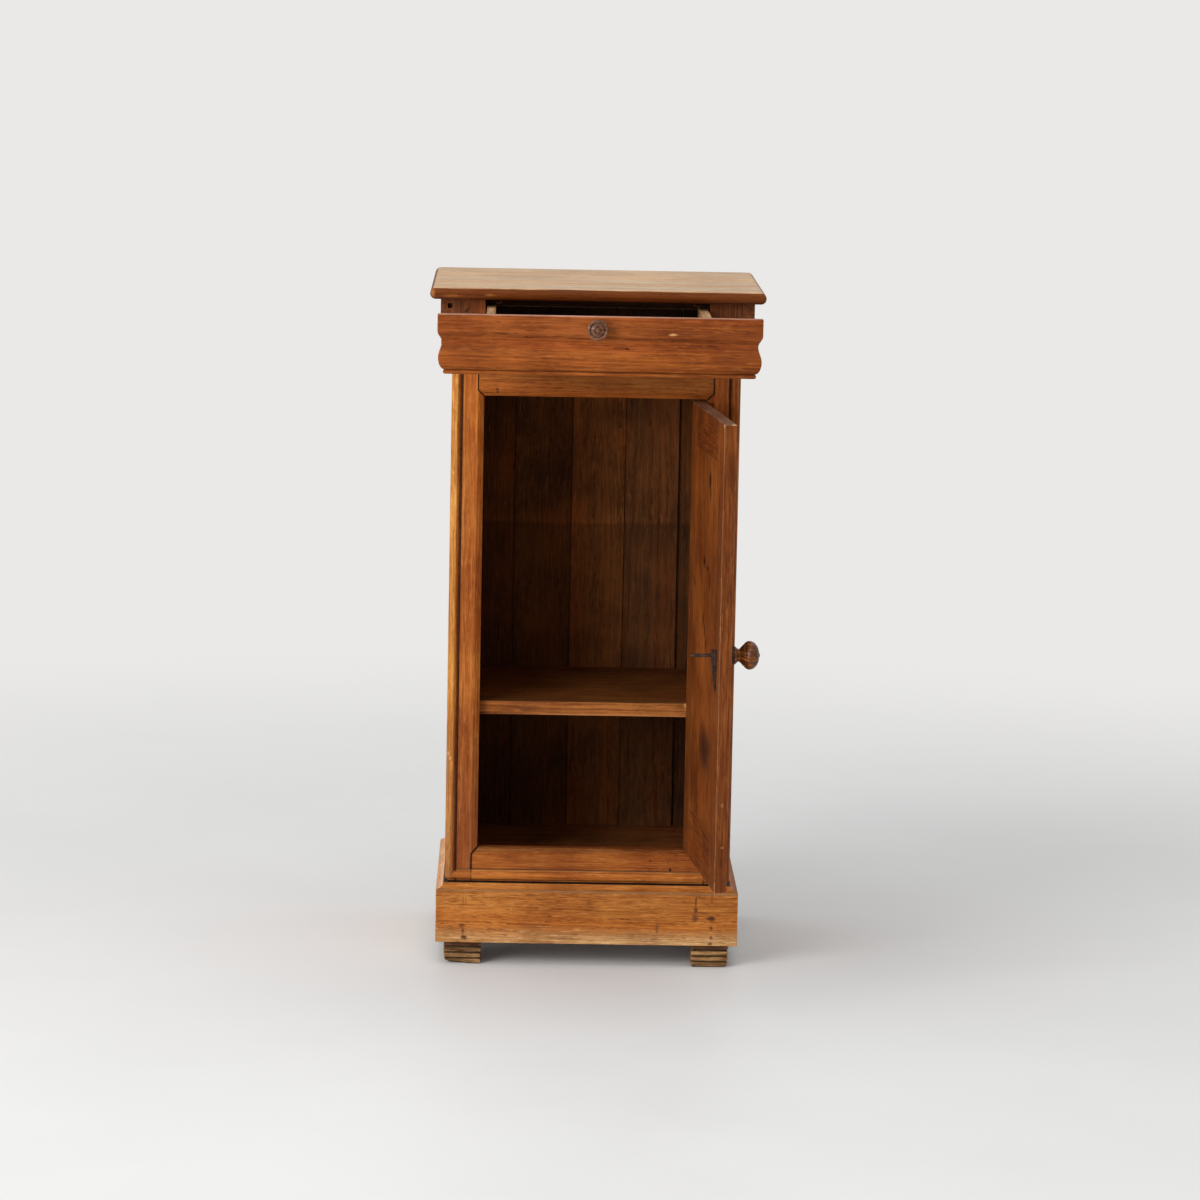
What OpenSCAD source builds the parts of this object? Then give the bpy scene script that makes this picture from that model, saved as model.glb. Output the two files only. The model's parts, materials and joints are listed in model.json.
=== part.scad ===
// Bedside cupboard with one drawer, one door and one shelf, in solid wood.
// Millimetres. The origin is on the floor, under the middle of the top board.
// The front faces -Y. It is drawn with the drawer pulled out and the door open.

/* [Overall] */
// Height of the top surface above the floor
height = 800; // [760:5:860]
// Width of the top board
top_w = 388; // [376:2:440]
// Depth of the top board
depth = 326; // [306:2:380]

/* [Top board] */
// Thickness of the top board
top_t = 14; // [11:0.5:20]
// How far the top stands out past the case, in front and at the sides
top_overhang = 26; // [25:0.5:32]
// Width of the narrow board along the back of the top
rear_board_w = 38; // [24:1:90]

/* [Case] */
// Width of a front post, seen from the front
post_w = 38; // [34:0.5:44]
// Thickness of a front post, front to back
post_t = 19.5; // [18:0.5:19.5]
// Width of a rear post
rear_post_w = 24; // [20:0.5:30]
// Depth of a rear post
rear_post_d = 30; // [24:0.5:40]
// Thickness of a side panel
side_t = 16; // [12:0.5:18]
// Thickness of the side panel's tongues
tongue_t = 5; // [3:0.5:6]
// Length of the side panel's tongues
tongue_l = 6; // [3:0.5:8]
// Chamfer round the door opening
frame_chamfer = 7; // [3:0.5:8]
// Radius of the bead on the outer corners
bead_r = 6; // [3.5:0.25:6]
// Width of the groove beside that bead
groove_w = 1.75; // [1.5:0.25:4]
// Depth of that groove, and of the quirk over the plinth
groove_d = 3.5; // [2:0.25:3.5]

/* [Rails] */
// Height of the rail over the door
upper_rail_h = 46.5; // [40:0.5:60]
// Visible height of the rail under the door
sill_h = 39; // [32:0.5:52]
// Length of the bottom rail that is hidden behind the plinth
sill_lap = 17.5; // [10:0.5:28]
// Radius of the bead along the foot of the rail and the sides
sill_bead_r = 6.25; // [4:0.25:7]
// Width of the groove over that bead
sill_groove_w = 1.5; // [1:0.25:3]
// Depth of that groove
sill_groove_d = 1.75; // [1:0.25:3]
// Thickness of the rails' tenons
tenon_t = 8; // [5:0.5:8]
// Shoulder above and below the rails' tenons
tenon_shoulder = 10; // [8:0.5:14]

/* [Frieze] */
// Height of the moulded frieze at drawer level
frieze_h = 70; // [62:0.5:90]
// Thickness of the frieze
frieze_t = 14; // [12:0.5:18]
// How far the drawer front laps over the rail under it
front_lap = 3; // [2:0.5:6]
// Height of the small bead at the frieze's foot
lip_h = 5; // [3:0.5:6]
// Height of the belly above the bead
belly_h = 14; // [10:0.5:16]
// Height of the hollow-going curve above the belly
ogee_h = 17.5; // [12:0.5:18]
// Height of the cove under the flat band
cove_h = 12; // [8:0.5:13]
// Depth of the cove
cove_d = 5; // [3:0.5:6]
// Depth of the belly's crest behind the flat band
crest_d = 1; // [0:0.25:2]
// Depth of the quirk between belly and bead
quirk_d = 8.5; // [6.5:0.25:8.5]
// Width of the old square hole in the left frieze
bolt_hole_w = 5.8; // [4:0.2:6]

/* [Plinth and feet] */
// Height of the feet
foot_h = 27; // [18:0.5:45]
// Width and depth of a foot
foot_w = 44; // [36:1:52]
// Number of reeds on a foot
foot_reeds = 4; // [3:1:6]
// Depth of the grooves between the reeds
reed_d = 1.8; // [1:0.1:2.5]
// Height of the plinth boards
plinth_h = 70.5; // [60:0.5:90]
// Thickness of the plinth boards
plinth_t = 10; // [8:0.5:14]
// Height of the cove on the plinth
plinth_cove_h = 7; // [5:0.5:10]
// Width of the flat left on top of the plinth
plinth_flat = 2; // [1:0.25:4]
// Open quirk between the plinth and the bead above it
plinth_gap = 2; // [1:0.5:5]
// How far the front feet stand back from the plinth's face
foot_setback = 6; // [4:0.5:10]
// How far the rear feet stand in from the back
foot_back_setback = 4; // [2:0.5:8]
// Width of the corner blocks behind the plinth
block_w = 28; // [20:1:34]
// Height of the corner blocks
block_h = 50; // [36:1:56]

/* [Back] */
// Thickness of the back boards
back_t = 10; // [8:0.5:12]
// How far the back boards lap behind the rear posts
back_lap = 10; // [6:0.5:14]
// Share of the back's width that the first board from the left takes
board_1_share = 0.2; // [0.16:0.005:0.22]
// Share of the second board
board_2_share = 0.2255; // [0.18:0.0005:0.24]
// Share of the third board
board_3_share = 0.2125; // [0.18:0.0005:0.23]
// Share of the fourth board; the fifth takes the rest
board_4_share = 0.219; // [0.18:0.0005:0.23]
// Shrinkage gap between two back boards
board_gap = 0.6; // [0.3:0.1:1.5]
// Wider gap beside the fifth back board
last_gap = 2.4; // [0.6:0.2:3]
// Width of the rebate by which each back board laps behind the next one
board_rebate = 6; // [4:0.5:9]
// Height of the two rails between the rear posts
rear_rail_h = 30; // [22:1:40]
// Radius of a nail's head
nail_head_r = 2.5; // [2:0.1:3]
// Radius of a nail's shank
nail_r = 0.9; // [0.7:0.1:1.2]
// Length of a nail
nail_l = 22; // [16:1:24]

/* [Inside] */
// Thickness of the shelf
shelf_t = 16; // [12:0.5:22]
// Height of the shelf's top above the cupboard floor
shelf_rise = 198; // [140:1:230]
// Gap between the closed door and the shelf
shelf_gap = 1; // [0.5:0.25:6]
// Width of the notch in the shelf's right front corner
notch_w = 38.5; // [20:0.5:60]
// Depth of that notch
notch_d = 18; // [8:0.5:30]
// Thickness of the cupboard floor
floor_t = 12; // [9:0.5:16]
// Height of the sill's top above the cupboard floor
floor_drop = 25.5; // [14:0.5:28]
// Width of the cleats under the shelf and the floor
cleat_w = 16; // [12:0.5:20]
// Height of those cleats
cleat_h = 16; // [12:0.5:18]
// Clearance at the ends of the shelf
shelf_play = 0.5; // [0.3:0.1:1.5]

/* [Drawer] */
// How far the drawer is pulled out
drawer_out = 188; // [0:1:228]
// Height of the drawer front
drawer_front_h = 67.5; // [58:0.5:69]
// Gap behind the closed drawer front
face_gap = 0.5; // [0.3:0.1:1]
// Thickness of the drawer front's core between the posts
core_t = 10.5; // [9:0.5:16]
// Height of the drawer sides
drawer_side_h = 58; // [40:0.5:58]
// Thickness of the drawer sides
drawer_side_t = 10; // [8:0.5:13]
// Thickness of the drawer back
drawer_back_t = 10; // [8:0.5:13]
// Height of the drawer back's top above the sides' lower edge
drawer_back_h = 41; // [30:0.5:56]
// Length of the drawer box behind the front board
drawer_l = 258; // [200:1:262]
// Gap between the drawer sides and the posts
drawer_gap = 2; // [1:0.25:3]
// Running gap under the drawer
drawer_lift = 0.3; // [0.2:0.05:0.6]
// Thickness of the drawer bottom
drawer_bottom_t = 5; // [4:0.5:7]
// Height of the drawer bottom above the sides' lower edge
bottom_rise = 6; // [4:0.5:9]
// Depth of the grooves that hold the drawer bottom
bottom_groove = 4; // [2.5:0.5:5]
// Length of a dovetail
tail_l = 7.5; // [5:0.5:8]
// Number of dovetails at a corner
tails = 2; // [1:1:3]
// Width of the runners under the drawer sides
runner_w = 40; // [30:1:48]
// Thickness of the runners
runner_t = 14; // [10:0.5:18]
// Height of the guides beside the drawer
guide_h = 20; // [12:1:30]
// Gap between a guide and the drawer side
guide_gap = 1; // [0.5:0.25:2]
// Thickness of the kickers over the drawer sides
kicker_t = 7; // [5:0.5:7]
// Radius of the drawer knob
pull_r = 11.25; // [8:0.25:13]
// Length of the drawer knob
pull_l = 17; // [13:0.5:24]
// Radius of the knob's spigot
spigot_r = 4; // [3:0.25:5]
// Height of the knob's centre above the drawer front's lower edge
pull_z = 53.5; // [45:0.5:54]
// Sideways place of the knob on the drawer front
pull_x = -3; // [-20:1:20]

/* [Door] */
// How far the door is opened, in degrees
door_open = 96; // [0:1:170]
// Thickness of the door
door_t = 14; // [13:0.5:14]
// Gap all round the closed door
door_gap = 2; // [1.5:0.25:3]
// How far the closed door lies behind the case's face
door_setback = 6; // [5:0.25:6]
// Width of the door's stiles
stile_w = 44; // [36:1:56]
// Height of the door's top rail
door_top_h = 45; // [36:1:60]
// Height of the door's bottom rail
door_bottom_h = 60; // [44:1:80]
// Thickness of the door's panel
panel_t = 8; // [7:0.5:9]
// Thickness of the panel's tongue and the rails' tenons
panel_tongue_t = 4; // [3:0.5:5]
// Depth of the grooves in the door's frame
panel_groove = 7; // [5:0.5:9]
// Play of the panel in its frame
panel_play = 0.4; // [0.3:0.1:1]
// Length of the door rails' tenons
door_tenon_l = 28; // [18:1:32]
// Chamfer round the panel, on the outer face
door_chamfer = 4.5; // [3:0.5:5]

/* [Hinges] */
// Height of a hinge
leaf_h = 50; // [36:1:70]
// Width of a leaf, from the pin's axis
leaf_w = 15; // [13:0.5:16]
// Thickness of a leaf
leaf_t = 1.2; // [0.8:0.1:1.6]
// Radius of the hinge barrel
barrel_r = 2.75; // [2.25:0.05:2.8]
// Radius of the hinge pin
pin_r = 1.3; // [1:0.05:1.5]
// Running play round the hinge pin
pin_play = 0.05; // [0.03:0.01:0.08]
// Distance of the pin's axis in front of the door's face
barrel_proud = 3; // [3:0.1:3.4]
// Distance of a hinge's middle from the door's end
hinge_inset = 75; // [50:1:120]
// Distance between the screws of a leaf
screw_step = 17; // [12:0.5:18]
// Distance of the screws from the pin's axis
screw_reach = 10; // [8.5:0.25:10.5]
// Radius of a screw's head
screw_head_r = 2.4; // [2:0.1:2.8]
// Radius of a screw's shank
screw_r = 1.2; // [0.9:0.1:1.4]
// Length of a screw
screw_l = 12; // [9:0.5:16]

/* [Latch] */
// Height of the latch's axis above the floor
latch_z = 408; // [380:1:460]
// Distance of the latch's axis from the door's free edge
latch_inset = 25; // [22:0.5:30]
// Radius of the iron spindle
spindle_r = 2; // [1.5:0.1:2.5]
// Running play round the spindle in the door
spindle_play = 0.08; // [0.05:0.01:0.1]
// How far the spindle stands out behind the latch arm
spindle_l = 25; // [12:1:30]
// Length of the spindle's point
point_l = 4.5; // [3:0.5:7]
// Reach of the latch arm from the spindle's axis
arm_l = 41; // [36:0.5:44]
// Length of the arm's square head above the axis
arm_top = 6; // [4.5:0.5:7]
// Width of the arm's head
arm_w = 10; // [8:0.5:12]
// Width of the arm's tip
arm_tip_w = 2.5; // [1.5:0.25:4]
// Thickness of the arm at its head
arm_t = 5; // [4:0.25:6]
// Thickness of the arm at its tip
arm_tip_t = 1; // [0.6:0.1:2]
// Gap between the door and the latch arm
arm_gap = 0.4; // [0.3:0.05:0.6]
// Radius of the iron rosette behind the door knob
rosette_r = 10.5; // [9:0.25:13]
// Thickness of the rosette
rosette_t = 4.6; // [1:0.1:6]
// Radius of the door knob
knob_r = 16.6; // [13:0.1:19]
// Radius of the door knob's neck
neck_r = 7.4; // [5.5:0.1:8]
// Length of the door knob's neck
neck_l = 5; // [4:0.5:8]
// Length of the flare from neck to widest place
flare_l = 12; // [8:0.5:14]
// Length of the dome beyond the widest place
dome_l = 10.5; // [8:0.5:14]
// Radius of the small button at the end of a knob
nib_r = 2.2; // [1.5:0.1:3]
// Length of that button
nib_l = 1.8; // [1:0.1:3]

/* [Hidden] */

// Overshoot of a cutting solid past the face that it cuts
cut = 1;
// Small clearance round screws, nails and spigots
snug = 0.05;

// Planes of the case, seen from above
front_y = -depth / 2;
back_y = depth / 2;
case_x = top_w / 2 - top_overhang;
case_y = front_y + top_overhang;
open_x = case_x - post_w;
post_back_y = case_y + post_t;
side_in_x = case_x - side_t;
rear_in_x = case_x - rear_post_w;
rear_post_y = back_y - rear_post_d;
back_face_y = back_y - back_t;
plinth_x = case_x + plinth_t;
plinth_y = case_y - plinth_t;

// Levels of the case
under_top_z = height - top_t;
frieze_z = under_top_z - frieze_h;
rail_top_z = frieze_z + front_lap;
rail_low_z = rail_top_z - upper_rail_h;
plinth_top_z = foot_h + plinth_h;
bead_z = plinth_top_z + plinth_gap;
sill_z = bead_z + sill_h;
sill_low_z = plinth_top_z - sill_lap;
floor_z = sill_z - floor_drop;
floor_low_z = floor_z - floor_t;
shelf_z = floor_z + shelf_rise;

// Joints of the case
tenon_y = case_y + 6;
mitre_l = 2 * cut + max(2 * bead_r + groove_w, 2 * sill_bead_r + sill_groove_w);
back_x = rear_in_x + back_lap;
back_low_z = sill_low_z - 20;
nail_low_z = floor_low_z - rear_rail_h / 2;
nail_top_z = under_top_z - rear_rail_h / 2;
nail_head_t = 0.8;

// Left edges of the back boards, then the right edge of the last one
board_1_end = board_1_share;
board_2_end = board_1_end + board_2_share;
board_3_end = board_2_end + board_3_share;
board_4_end = board_3_end + board_4_share;
board_x = [for (end = [0, board_1_end, board_2_end, board_3_end, board_4_end, 1])
  (2 * end - 1) * back_x];

// The drawer, closed
box_x = open_x - drawer_gap;
box_z = rail_top_z + drawer_lift;
core_y = case_y - face_gap;
core_back_y = core_y + core_t;
box_back_y = core_y + drawer_l;
bottom_z = box_z + bottom_rise;
front_x = case_x + frieze_t;
front_face_y = case_y - frieze_t;
tail_gap = 1.2;
box_top_z = box_z + drawer_side_h;
drawer_back_low_z = box_z + bottom_rise + drawer_bottom_t;
drawer_back_top_z = box_z + drawer_back_h;
pull_at = [pull_x, front_face_y, frieze_z + pull_z];

// The door, closed
door_x = open_x - door_gap;
door_y = case_y + door_setback;
door_back_y = door_y + door_t;
door_z = sill_z + door_gap;
door_top_z = rail_low_z - door_gap;
sight_x = door_x - stile_w;
sight_z = door_z + door_bottom_h;
sight_top_z = door_top_z - door_top_h;
panel_y = door_back_y - panel_t;
door_tenon_shoulder = 8;

// The hinges
hinge_x = open_x - door_gap / 2;
hinge_y = door_y - barrel_proud;
hinge_zs = [door_z + hinge_inset, door_top_z - hinge_inset];
knuckle_gap = 0.3;
knuckle_h = (leaf_h - 2 * knuckle_gap) / 3;
barrel_clear = 0.3;
pin_head_h = 1.2;

// The latch
latch_x = -door_x + latch_inset;
latch_y = door_back_y + arm_gap;
rosette_gap = 0.3;
knob_y = door_y - rosette_t - rosette_gap;
knob_bore_l = neck_l + flare_l;

// Points of the rounding of a bead of radius r, as distance from the edge and depth, up to depth e
function turn(r, e) = acos(1 - min(e, r) / r);
function inner_arc(r, e) = [for (i = [0 : 8]) let (a = turn(r, e) * i / 8)
  [r + r * sin(a), r - r * cos(a)]];
function outer_arc(r, e) = [for (i = [0 : 8]) let (a = turn(r, e) * i / 8)
  [r - r * sin(a), r - r * cos(a)]];

// Groove of width w and depth e on the inner side of a bead
function groove(r, w, e) = concat(inner_arc(r, e), [[2 * r + w, e], [2 * r + w, -cut], [r, -cut]]);
post_groove = groove(bead_r, groove_w, groove_d);
sill_groove = groove(sill_bead_r, sill_groove_w, sill_groove_d);

// Quirk under the lower bead, and rounding of the upright corner
quirk = concat(outer_arc(sill_bead_r, groove_d),
  [[-plinth_gap, groove_d], [-plinth_gap, -cut], [sill_bead_r, -cut]]);
corner = concat(outer_arc(bead_r, bead_r), [[-cut, bead_r], [-cut, -cut], [bead_r, -cut]]);

// Outline of the frieze, as depth behind its face and height above its foot
function wave(a, b, t) = a + (b - a) * (1 - cos(180 * t)) / 2;
function frieze_line(h) = concat(
  [for (i = [0 : 8]) let (a = -90 + 22.5 * i)
    [quirk_d + 0.6 - lip_h / 2 * cos(a), lip_h / 2 + lip_h / 2 * sin(a)]],
  [for (i = [0 : 8]) let (t = i / 8)
    [quirk_d - (quirk_d - crest_d) * sin(90 * t), lip_h + belly_h * (1 - cos(90 * t))]],
  [for (i = [1 : 10]) [wave(crest_d, cove_d, i / 10), lip_h + belly_h + ogee_h * i / 10]],
  [for (i = [1 : 10]) [wave(cove_d, 0, i / 10), lip_h + belly_h + ogee_h + cove_h * i / 10]],
  [[0, h]]);

// Outline of a plinth board, as depth behind its face and height
plinth_line = concat([[plinth_t, foot_h], [0, foot_h]],
  [for (i = [0 : 8]) let (a = 90 * i / 8)
    [(plinth_t - plinth_flat) * sin(a), plinth_top_z - plinth_cove_h * cos(a)]],
  [[plinth_t, plinth_top_z]]);

// Depth of a foot's reeds at each level
function reed(t) = reed_d * (1 - sqrt(1 - pow(2 * t - 1, 2)));
foot_line = [for (i = [0 : foot_reeds - 1]) for (j = [i == 0 ? 0 : 1 : 8])
  [reed(j / 8), foot_h * (i + j / 8) / foot_reeds]];

// A solid with the outline [x, z] from y0 to y1
module along_y(points, y0, y1) {
  translate([0, y1, 0]) rotate([90, 0, 0]) linear_extrude(y1 - y0) polygon(points);
}

// A solid with the outline [y, z] from x0 to x1
module along_x(points, x0, x1) {
  translate([x0, 0, 0]) rotate([90, 0, 90]) linear_extrude(x1 - x0) polygon(points);
}

// A solid with the outline [x, y] from z0 to z1
module along_z(points, z0, z1) {
  translate([0, 0, z0]) linear_extrude(z1 - z0) polygon(points);
}

// A box between two corners
module block(a, b) {
  translate(a) cube(b - a);
}

// The right-hand piece for side 1, and its mirror image for side -1
module on_side(side) {
  mirror([side < 0 ? 1 : 0, 0, 0]) children();
}

// A round bar along Y
module bar_y(x, z, y0, y1, r0, r1) {
  translate([x, y1, z]) rotate([90, 0, 0]) cylinder(h = y1 - y0, r1 = r1, r2 = r0, $fn = 48);
}

// Bead and groove along the foot of a side face
module side_foot_cuts() {
  along_y([for (p = sill_groove) [case_x - p[1], bead_z + p[0]]], case_y - cut, back_y + cut);
}

module side_quirk_cut() {
  along_y([for (p = quirk) [case_x - p[1], bead_z + p[0]]], case_y - cut, back_y + cut);
}

module front_quirk_cut() {
  along_x([for (p = quirk) [case_y + p[1], bead_z + p[0]]], -case_x - cut, case_x + cut);
}

module top_board(y0, y1) {
  r = top_t / 2;
  x = top_w / 2;
  nose = [for (i = [0 : 16]) let (a = -90 + 180 * i / 16)
    [front_y + r - r * cos(a), height - r + r * sin(a)]];
  ends = concat(
    [for (i = [0 : 16]) let (a = -90 + 180 * i / 16) [x - r + r * cos(a), height - r + r * sin(a)]],
    [for (i = [16 : -1 : 0]) let (a = -90 + 180 * i / 16)
      [-x + r - r * cos(a), height - r + r * sin(a)]]);
  color("peru") intersection() {
    along_y(ends, y0, y1);
    along_x(concat(nose, [[back_y, height], [back_y, under_top_z]]), -x, x);
  }
}

module top_board_front() {
  top_board(front_y, back_y - rear_board_w);
}

module top_board_rear() {
  top_board(back_y - rear_board_w, back_y);
}

// Front post: jack mitred to both rails, with a beaded corner that turns along its foot
module front_post(side) {
  c = frame_chamfer;
  outline = [[open_x, foot_h], [open_x, sill_low_z], [open_x + c, sill_low_z],
    [open_x + c, sill_z - c], [open_x, sill_z], [open_x, rail_low_z],
    [open_x + c, rail_low_z + c], [open_x + c, rail_top_z], [open_x, rail_top_z],
    [open_x, under_top_z], [case_x, under_top_z], [case_x, foot_h]];
  color("sienna") on_side(side) difference() {
    along_y(outline, case_y, post_back_y);
    along_z([[open_x - cut, case_y - cut], [open_x + c + cut, case_y - cut],
      [open_x - cut, case_y + c + cut]], sill_z - c, rail_low_z + c);
    along_z([for (p = corner) [case_x - p[0], case_y + p[1]]], bead_z, frieze_z);
    front_quirk_cut();
    side_quirk_cut();
    intersection() {
      along_z([for (p = post_groove) [case_x - p[0], case_y + p[1]]], bead_z, frieze_z);
      along_y([[case_x, bead_z], [case_x, frieze_z], [case_x - mitre_l, frieze_z],
        [case_x - mitre_l, bead_z + mitre_l]], case_y - 2 * cut, post_back_y);
    }
    intersection() {
      along_z([for (p = post_groove) [case_x - p[1], case_y + p[0]]], bead_z, frieze_z);
      along_x([[case_y, bead_z], [case_y, frieze_z], [case_y + mitre_l, frieze_z],
        [case_y + mitre_l, bead_z + mitre_l]], open_x, case_x + 2 * cut);
    }
    intersection() {
      along_x([for (p = sill_groove) [case_y + p[1], bead_z + p[0]]], open_x - cut, case_x + cut);
      along_y([[case_x, bead_z], [case_x - mitre_l, bead_z + mitre_l],
        [open_x - cut, bead_z + mitre_l], [open_x - cut, bead_z]], case_y - 2 * cut, post_back_y);
    }
    intersection() {
      side_foot_cuts();
      along_x([[case_y, bead_z], [case_y + mitre_l, bead_z + mitre_l],
        [post_back_y + cut, bead_z + mitre_l], [post_back_y + cut, bead_z]],
        open_x, case_x + 2 * cut);
    }
    rail_tenon(rail_low_z, rail_top_z);
    rail_tenon(sill_low_z, sill_z);
    side_tongue(post_back_y - tongue_l, post_back_y + cut);
    if (side > 0) {
      for (z = hinge_zs) {
        block([hinge_x, hinge_y - cut, z - leaf_h / 2],
          [open_x + leaf_t, hinge_y + leaf_w, z + leaf_h / 2]);
        translate([hinge_x, hinge_y, z - leaf_h / 2])
          cylinder(h = leaf_h, r = barrel_r + barrel_clear, $fn = 48);
        for (i = [-1 : 1]) {
          translate([open_x, hinge_y + screw_reach, z + i * screw_step])
            rotate([0, 90, 0]) cylinder(h = screw_l + snug, r = screw_r + snug, $fn = 24);
        }
      }
    }
  }
}

// Tenon at the right-hand end of a rail, also cut from the post as its mortise
module rail_tenon(z0, z1) {
  block([open_x + frame_chamfer - cut, tenon_y, z0 + tenon_shoulder],
    [side_in_x, tenon_y + tenon_t, z1 - tenon_shoulder]);
}

// Tongue of the side panel, also cut from the posts as its groove
module side_tongue(y0, y1) {
  x = case_x - side_t / 2;
  block([x - tongue_t / 2, y0, foot_h], [x + tongue_t / 2, y1, under_top_z]);
}

module rear_post(side) {
  color("sienna") on_side(side) difference() {
    block([rear_in_x, rear_post_y, foot_h], [case_x, back_y, under_top_z]);
    block([rear_in_x - cut, back_face_y, foot_h - cut], [back_x, back_y + cut, under_top_z + cut]);
    side_foot_cuts();
    side_quirk_cut();
    side_tongue(rear_post_y - cut, rear_post_y + tongue_l);
  }
}

module side_panel(side) {
  color("sienna") on_side(side) union() {
    difference() {
      block([side_in_x, post_back_y, foot_h], [case_x, rear_post_y, under_top_z]);
      side_foot_cuts();
      side_quirk_cut();
    }
    side_tongue(post_back_y - tongue_l, post_back_y + cut);
    side_tongue(rear_post_y - cut, rear_post_y + tongue_l);
  }
}

module upper_rail() {
  c = frame_chamfer;
  x = open_x + c;
  color("sienna") union() {
    difference() {
      along_y([[-x, rail_top_z], [-x, rail_low_z + c], [-open_x, rail_low_z],
        [open_x, rail_low_z], [x, rail_low_z + c], [x, rail_top_z]], case_y, post_back_y);
      along_x([[case_y - cut, rail_low_z - cut], [case_y - cut, rail_low_z + c + cut],
        [case_y + c + cut, rail_low_z - cut]], -x - cut, x + cut);
    }
    for (side = [-1, 1]) on_side(side) rail_tenon(rail_low_z, rail_top_z);
  }
}

module bottom_rail() {
  c = frame_chamfer;
  x = open_x + c;
  color("sienna") union() {
    difference() {
      along_y([[-x, sill_low_z], [-x, sill_z - c], [-open_x, sill_z],
        [open_x, sill_z], [x, sill_z - c], [x, sill_low_z]], case_y, post_back_y);
      along_x([[case_y - cut, sill_z + cut], [case_y - cut, sill_z - c - cut],
        [case_y + c + cut, sill_z + cut]], -x - cut, x + cut);
      along_x([for (p = sill_groove) [case_y + p[1], bead_z + p[0]]], -x - cut, x + cut);
      front_quirk_cut();
    }
    for (side = [-1, 1]) on_side(side) rail_tenon(sill_low_z, sill_z);
  }
}

module rear_rail(z0) {
  color("sienna") difference() {
    block([-rear_in_x, rear_post_y, z0], [rear_in_x, back_face_y, z0 + rear_rail_h]);
    nail_holes();
  }
}

module rear_top_rail() {
  rear_rail(under_top_z - rear_rail_h);
}

module rear_bottom_rail() {
  rear_rail(floor_low_z - rear_rail_h);
}

// Side frieze, with the same outline as the drawer front
module frieze(side) {
  color("sienna") on_side(side) difference() {
    along_y(concat([for (p = frieze_line(frieze_h)) [front_x - p[0], frieze_z + p[1]]],
      [[case_x, under_top_z], [case_x, frieze_z]]), case_y, back_y);
    if (side < 0) {
      translate([case_x + 0.5, case_y - cut, under_top_z - 6 - bolt_hole_w])
        cube([bolt_hole_w, 9 + cut, bolt_hole_w]);
    }
  }
}

module plinth_front() {
  color("sienna") intersection() {
    along_x([for (p = plinth_line) [plinth_y + p[0], p[1]]], -plinth_x, plinth_x);
    along_z([[-plinth_x, plinth_y], [plinth_x, plinth_y], [case_x, case_y], [-case_x, case_y]],
      foot_h, plinth_top_z);
  }
}

module plinth_side(side) {
  color("sienna") on_side(side) intersection() {
    along_y([for (p = plinth_line) [plinth_x - p[0], p[1]]], plinth_y, back_y);
    along_z([[case_x, case_y], [plinth_x, plinth_y], [plinth_x, back_y], [case_x, back_y]],
      foot_h, plinth_top_z);
  }
}

// Reeded foot, from its front face y0
module foot(side, y0) {
  x0 = case_x - foot_w;
  y1 = y0 + foot_w;
  n = len(foot_line) - 1;
  color("saddlebrown") on_side(side) intersection() {
    along_y(concat([for (p = foot_line) [case_x - p[0], p[1]]],
      [for (i = [n : -1 : 0]) [x0 + foot_line[i][0], foot_line[i][1]]]), y0, y1);
    along_x(concat([for (p = foot_line) [y0 + p[0], p[1]]],
      [for (i = [n : -1 : 0]) [y1 - foot_line[i][0], foot_line[i][1]]]), x0, case_x);
  }
}

module corner_blocks() {
  color("tan") for (side = [-1, 1]) on_side(side) {
    block([side_in_x - block_w, post_back_y, foot_h],
      [side_in_x, post_back_y + block_w, foot_h + block_h]);
    block([side_in_x - block_w, rear_post_y - block_w, foot_h],
      [side_in_x, rear_post_y, foot_h + block_h]);
  }
}

// Places of the nails, two to a board at each rail, where the board lies on the rail
function nail_lo(i) = max(board_x[i], -rear_in_x);
function nail_hi(i) = min(board_x[i + 1], rear_in_x);
function nail_x(i, k) = nail_lo(i) + (nail_hi(i) - nail_lo(i)) * (k + 1) / 3;

module nail_holes() {
  for (i = [0 : 4]) for (k = [0 : 1]) for (z = [nail_low_z, nail_top_z]) {
    bar_y(nail_x(i, k), z, back_y - nail_l - snug, back_y, nail_r + snug, nail_r + snug);
  }
}

// Back board: its outer half laps behind the next board, which is rebated for it
module back_board(i) {
  gap_right = i == 3 ? last_gap : i == 4 ? 0 : board_gap;
  x1 = board_x[i + 1] - gap_right;
  mid_y = back_y - back_t / 2;
  color("saddlebrown") difference() {
    union() {
      block([board_x[i], back_face_y, back_low_z], [x1, back_y, under_top_z]);
      if (i < 4) {
        block([x1 - cut, mid_y, back_low_z], [board_x[i + 1] + board_rebate, back_y, under_top_z]);
      }
    }
    if (i > 0) {
      block([board_x[i] - cut, mid_y, back_low_z - cut],
        [board_x[i] + board_rebate + board_gap, back_y + cut, under_top_z + cut]);
    }
    for (k = [0 : 1]) for (z = [nail_low_z, nail_top_z]) {
      bar_y(nail_x(i, k), z, back_face_y - cut, back_y + cut, nail_r + snug, nail_r + snug);
      bar_y(nail_x(i, k), z, back_y - nail_head_t, back_y + cut,
        nail_head_r + snug, nail_head_r + snug);
    }
  }
}

module back_nails() {
  color("dimgray") for (i = [0 : 4]) for (k = [0 : 1]) for (z = [nail_low_z, nail_top_z]) {
    union() {
      bar_y(nail_x(i, k), z, back_y - nail_l, back_y - nail_head_t, nail_r, nail_r);
      bar_y(nail_x(i, k), z, back_y - nail_head_t, back_y, nail_head_r, nail_head_r);
    }
  }
}

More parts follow.
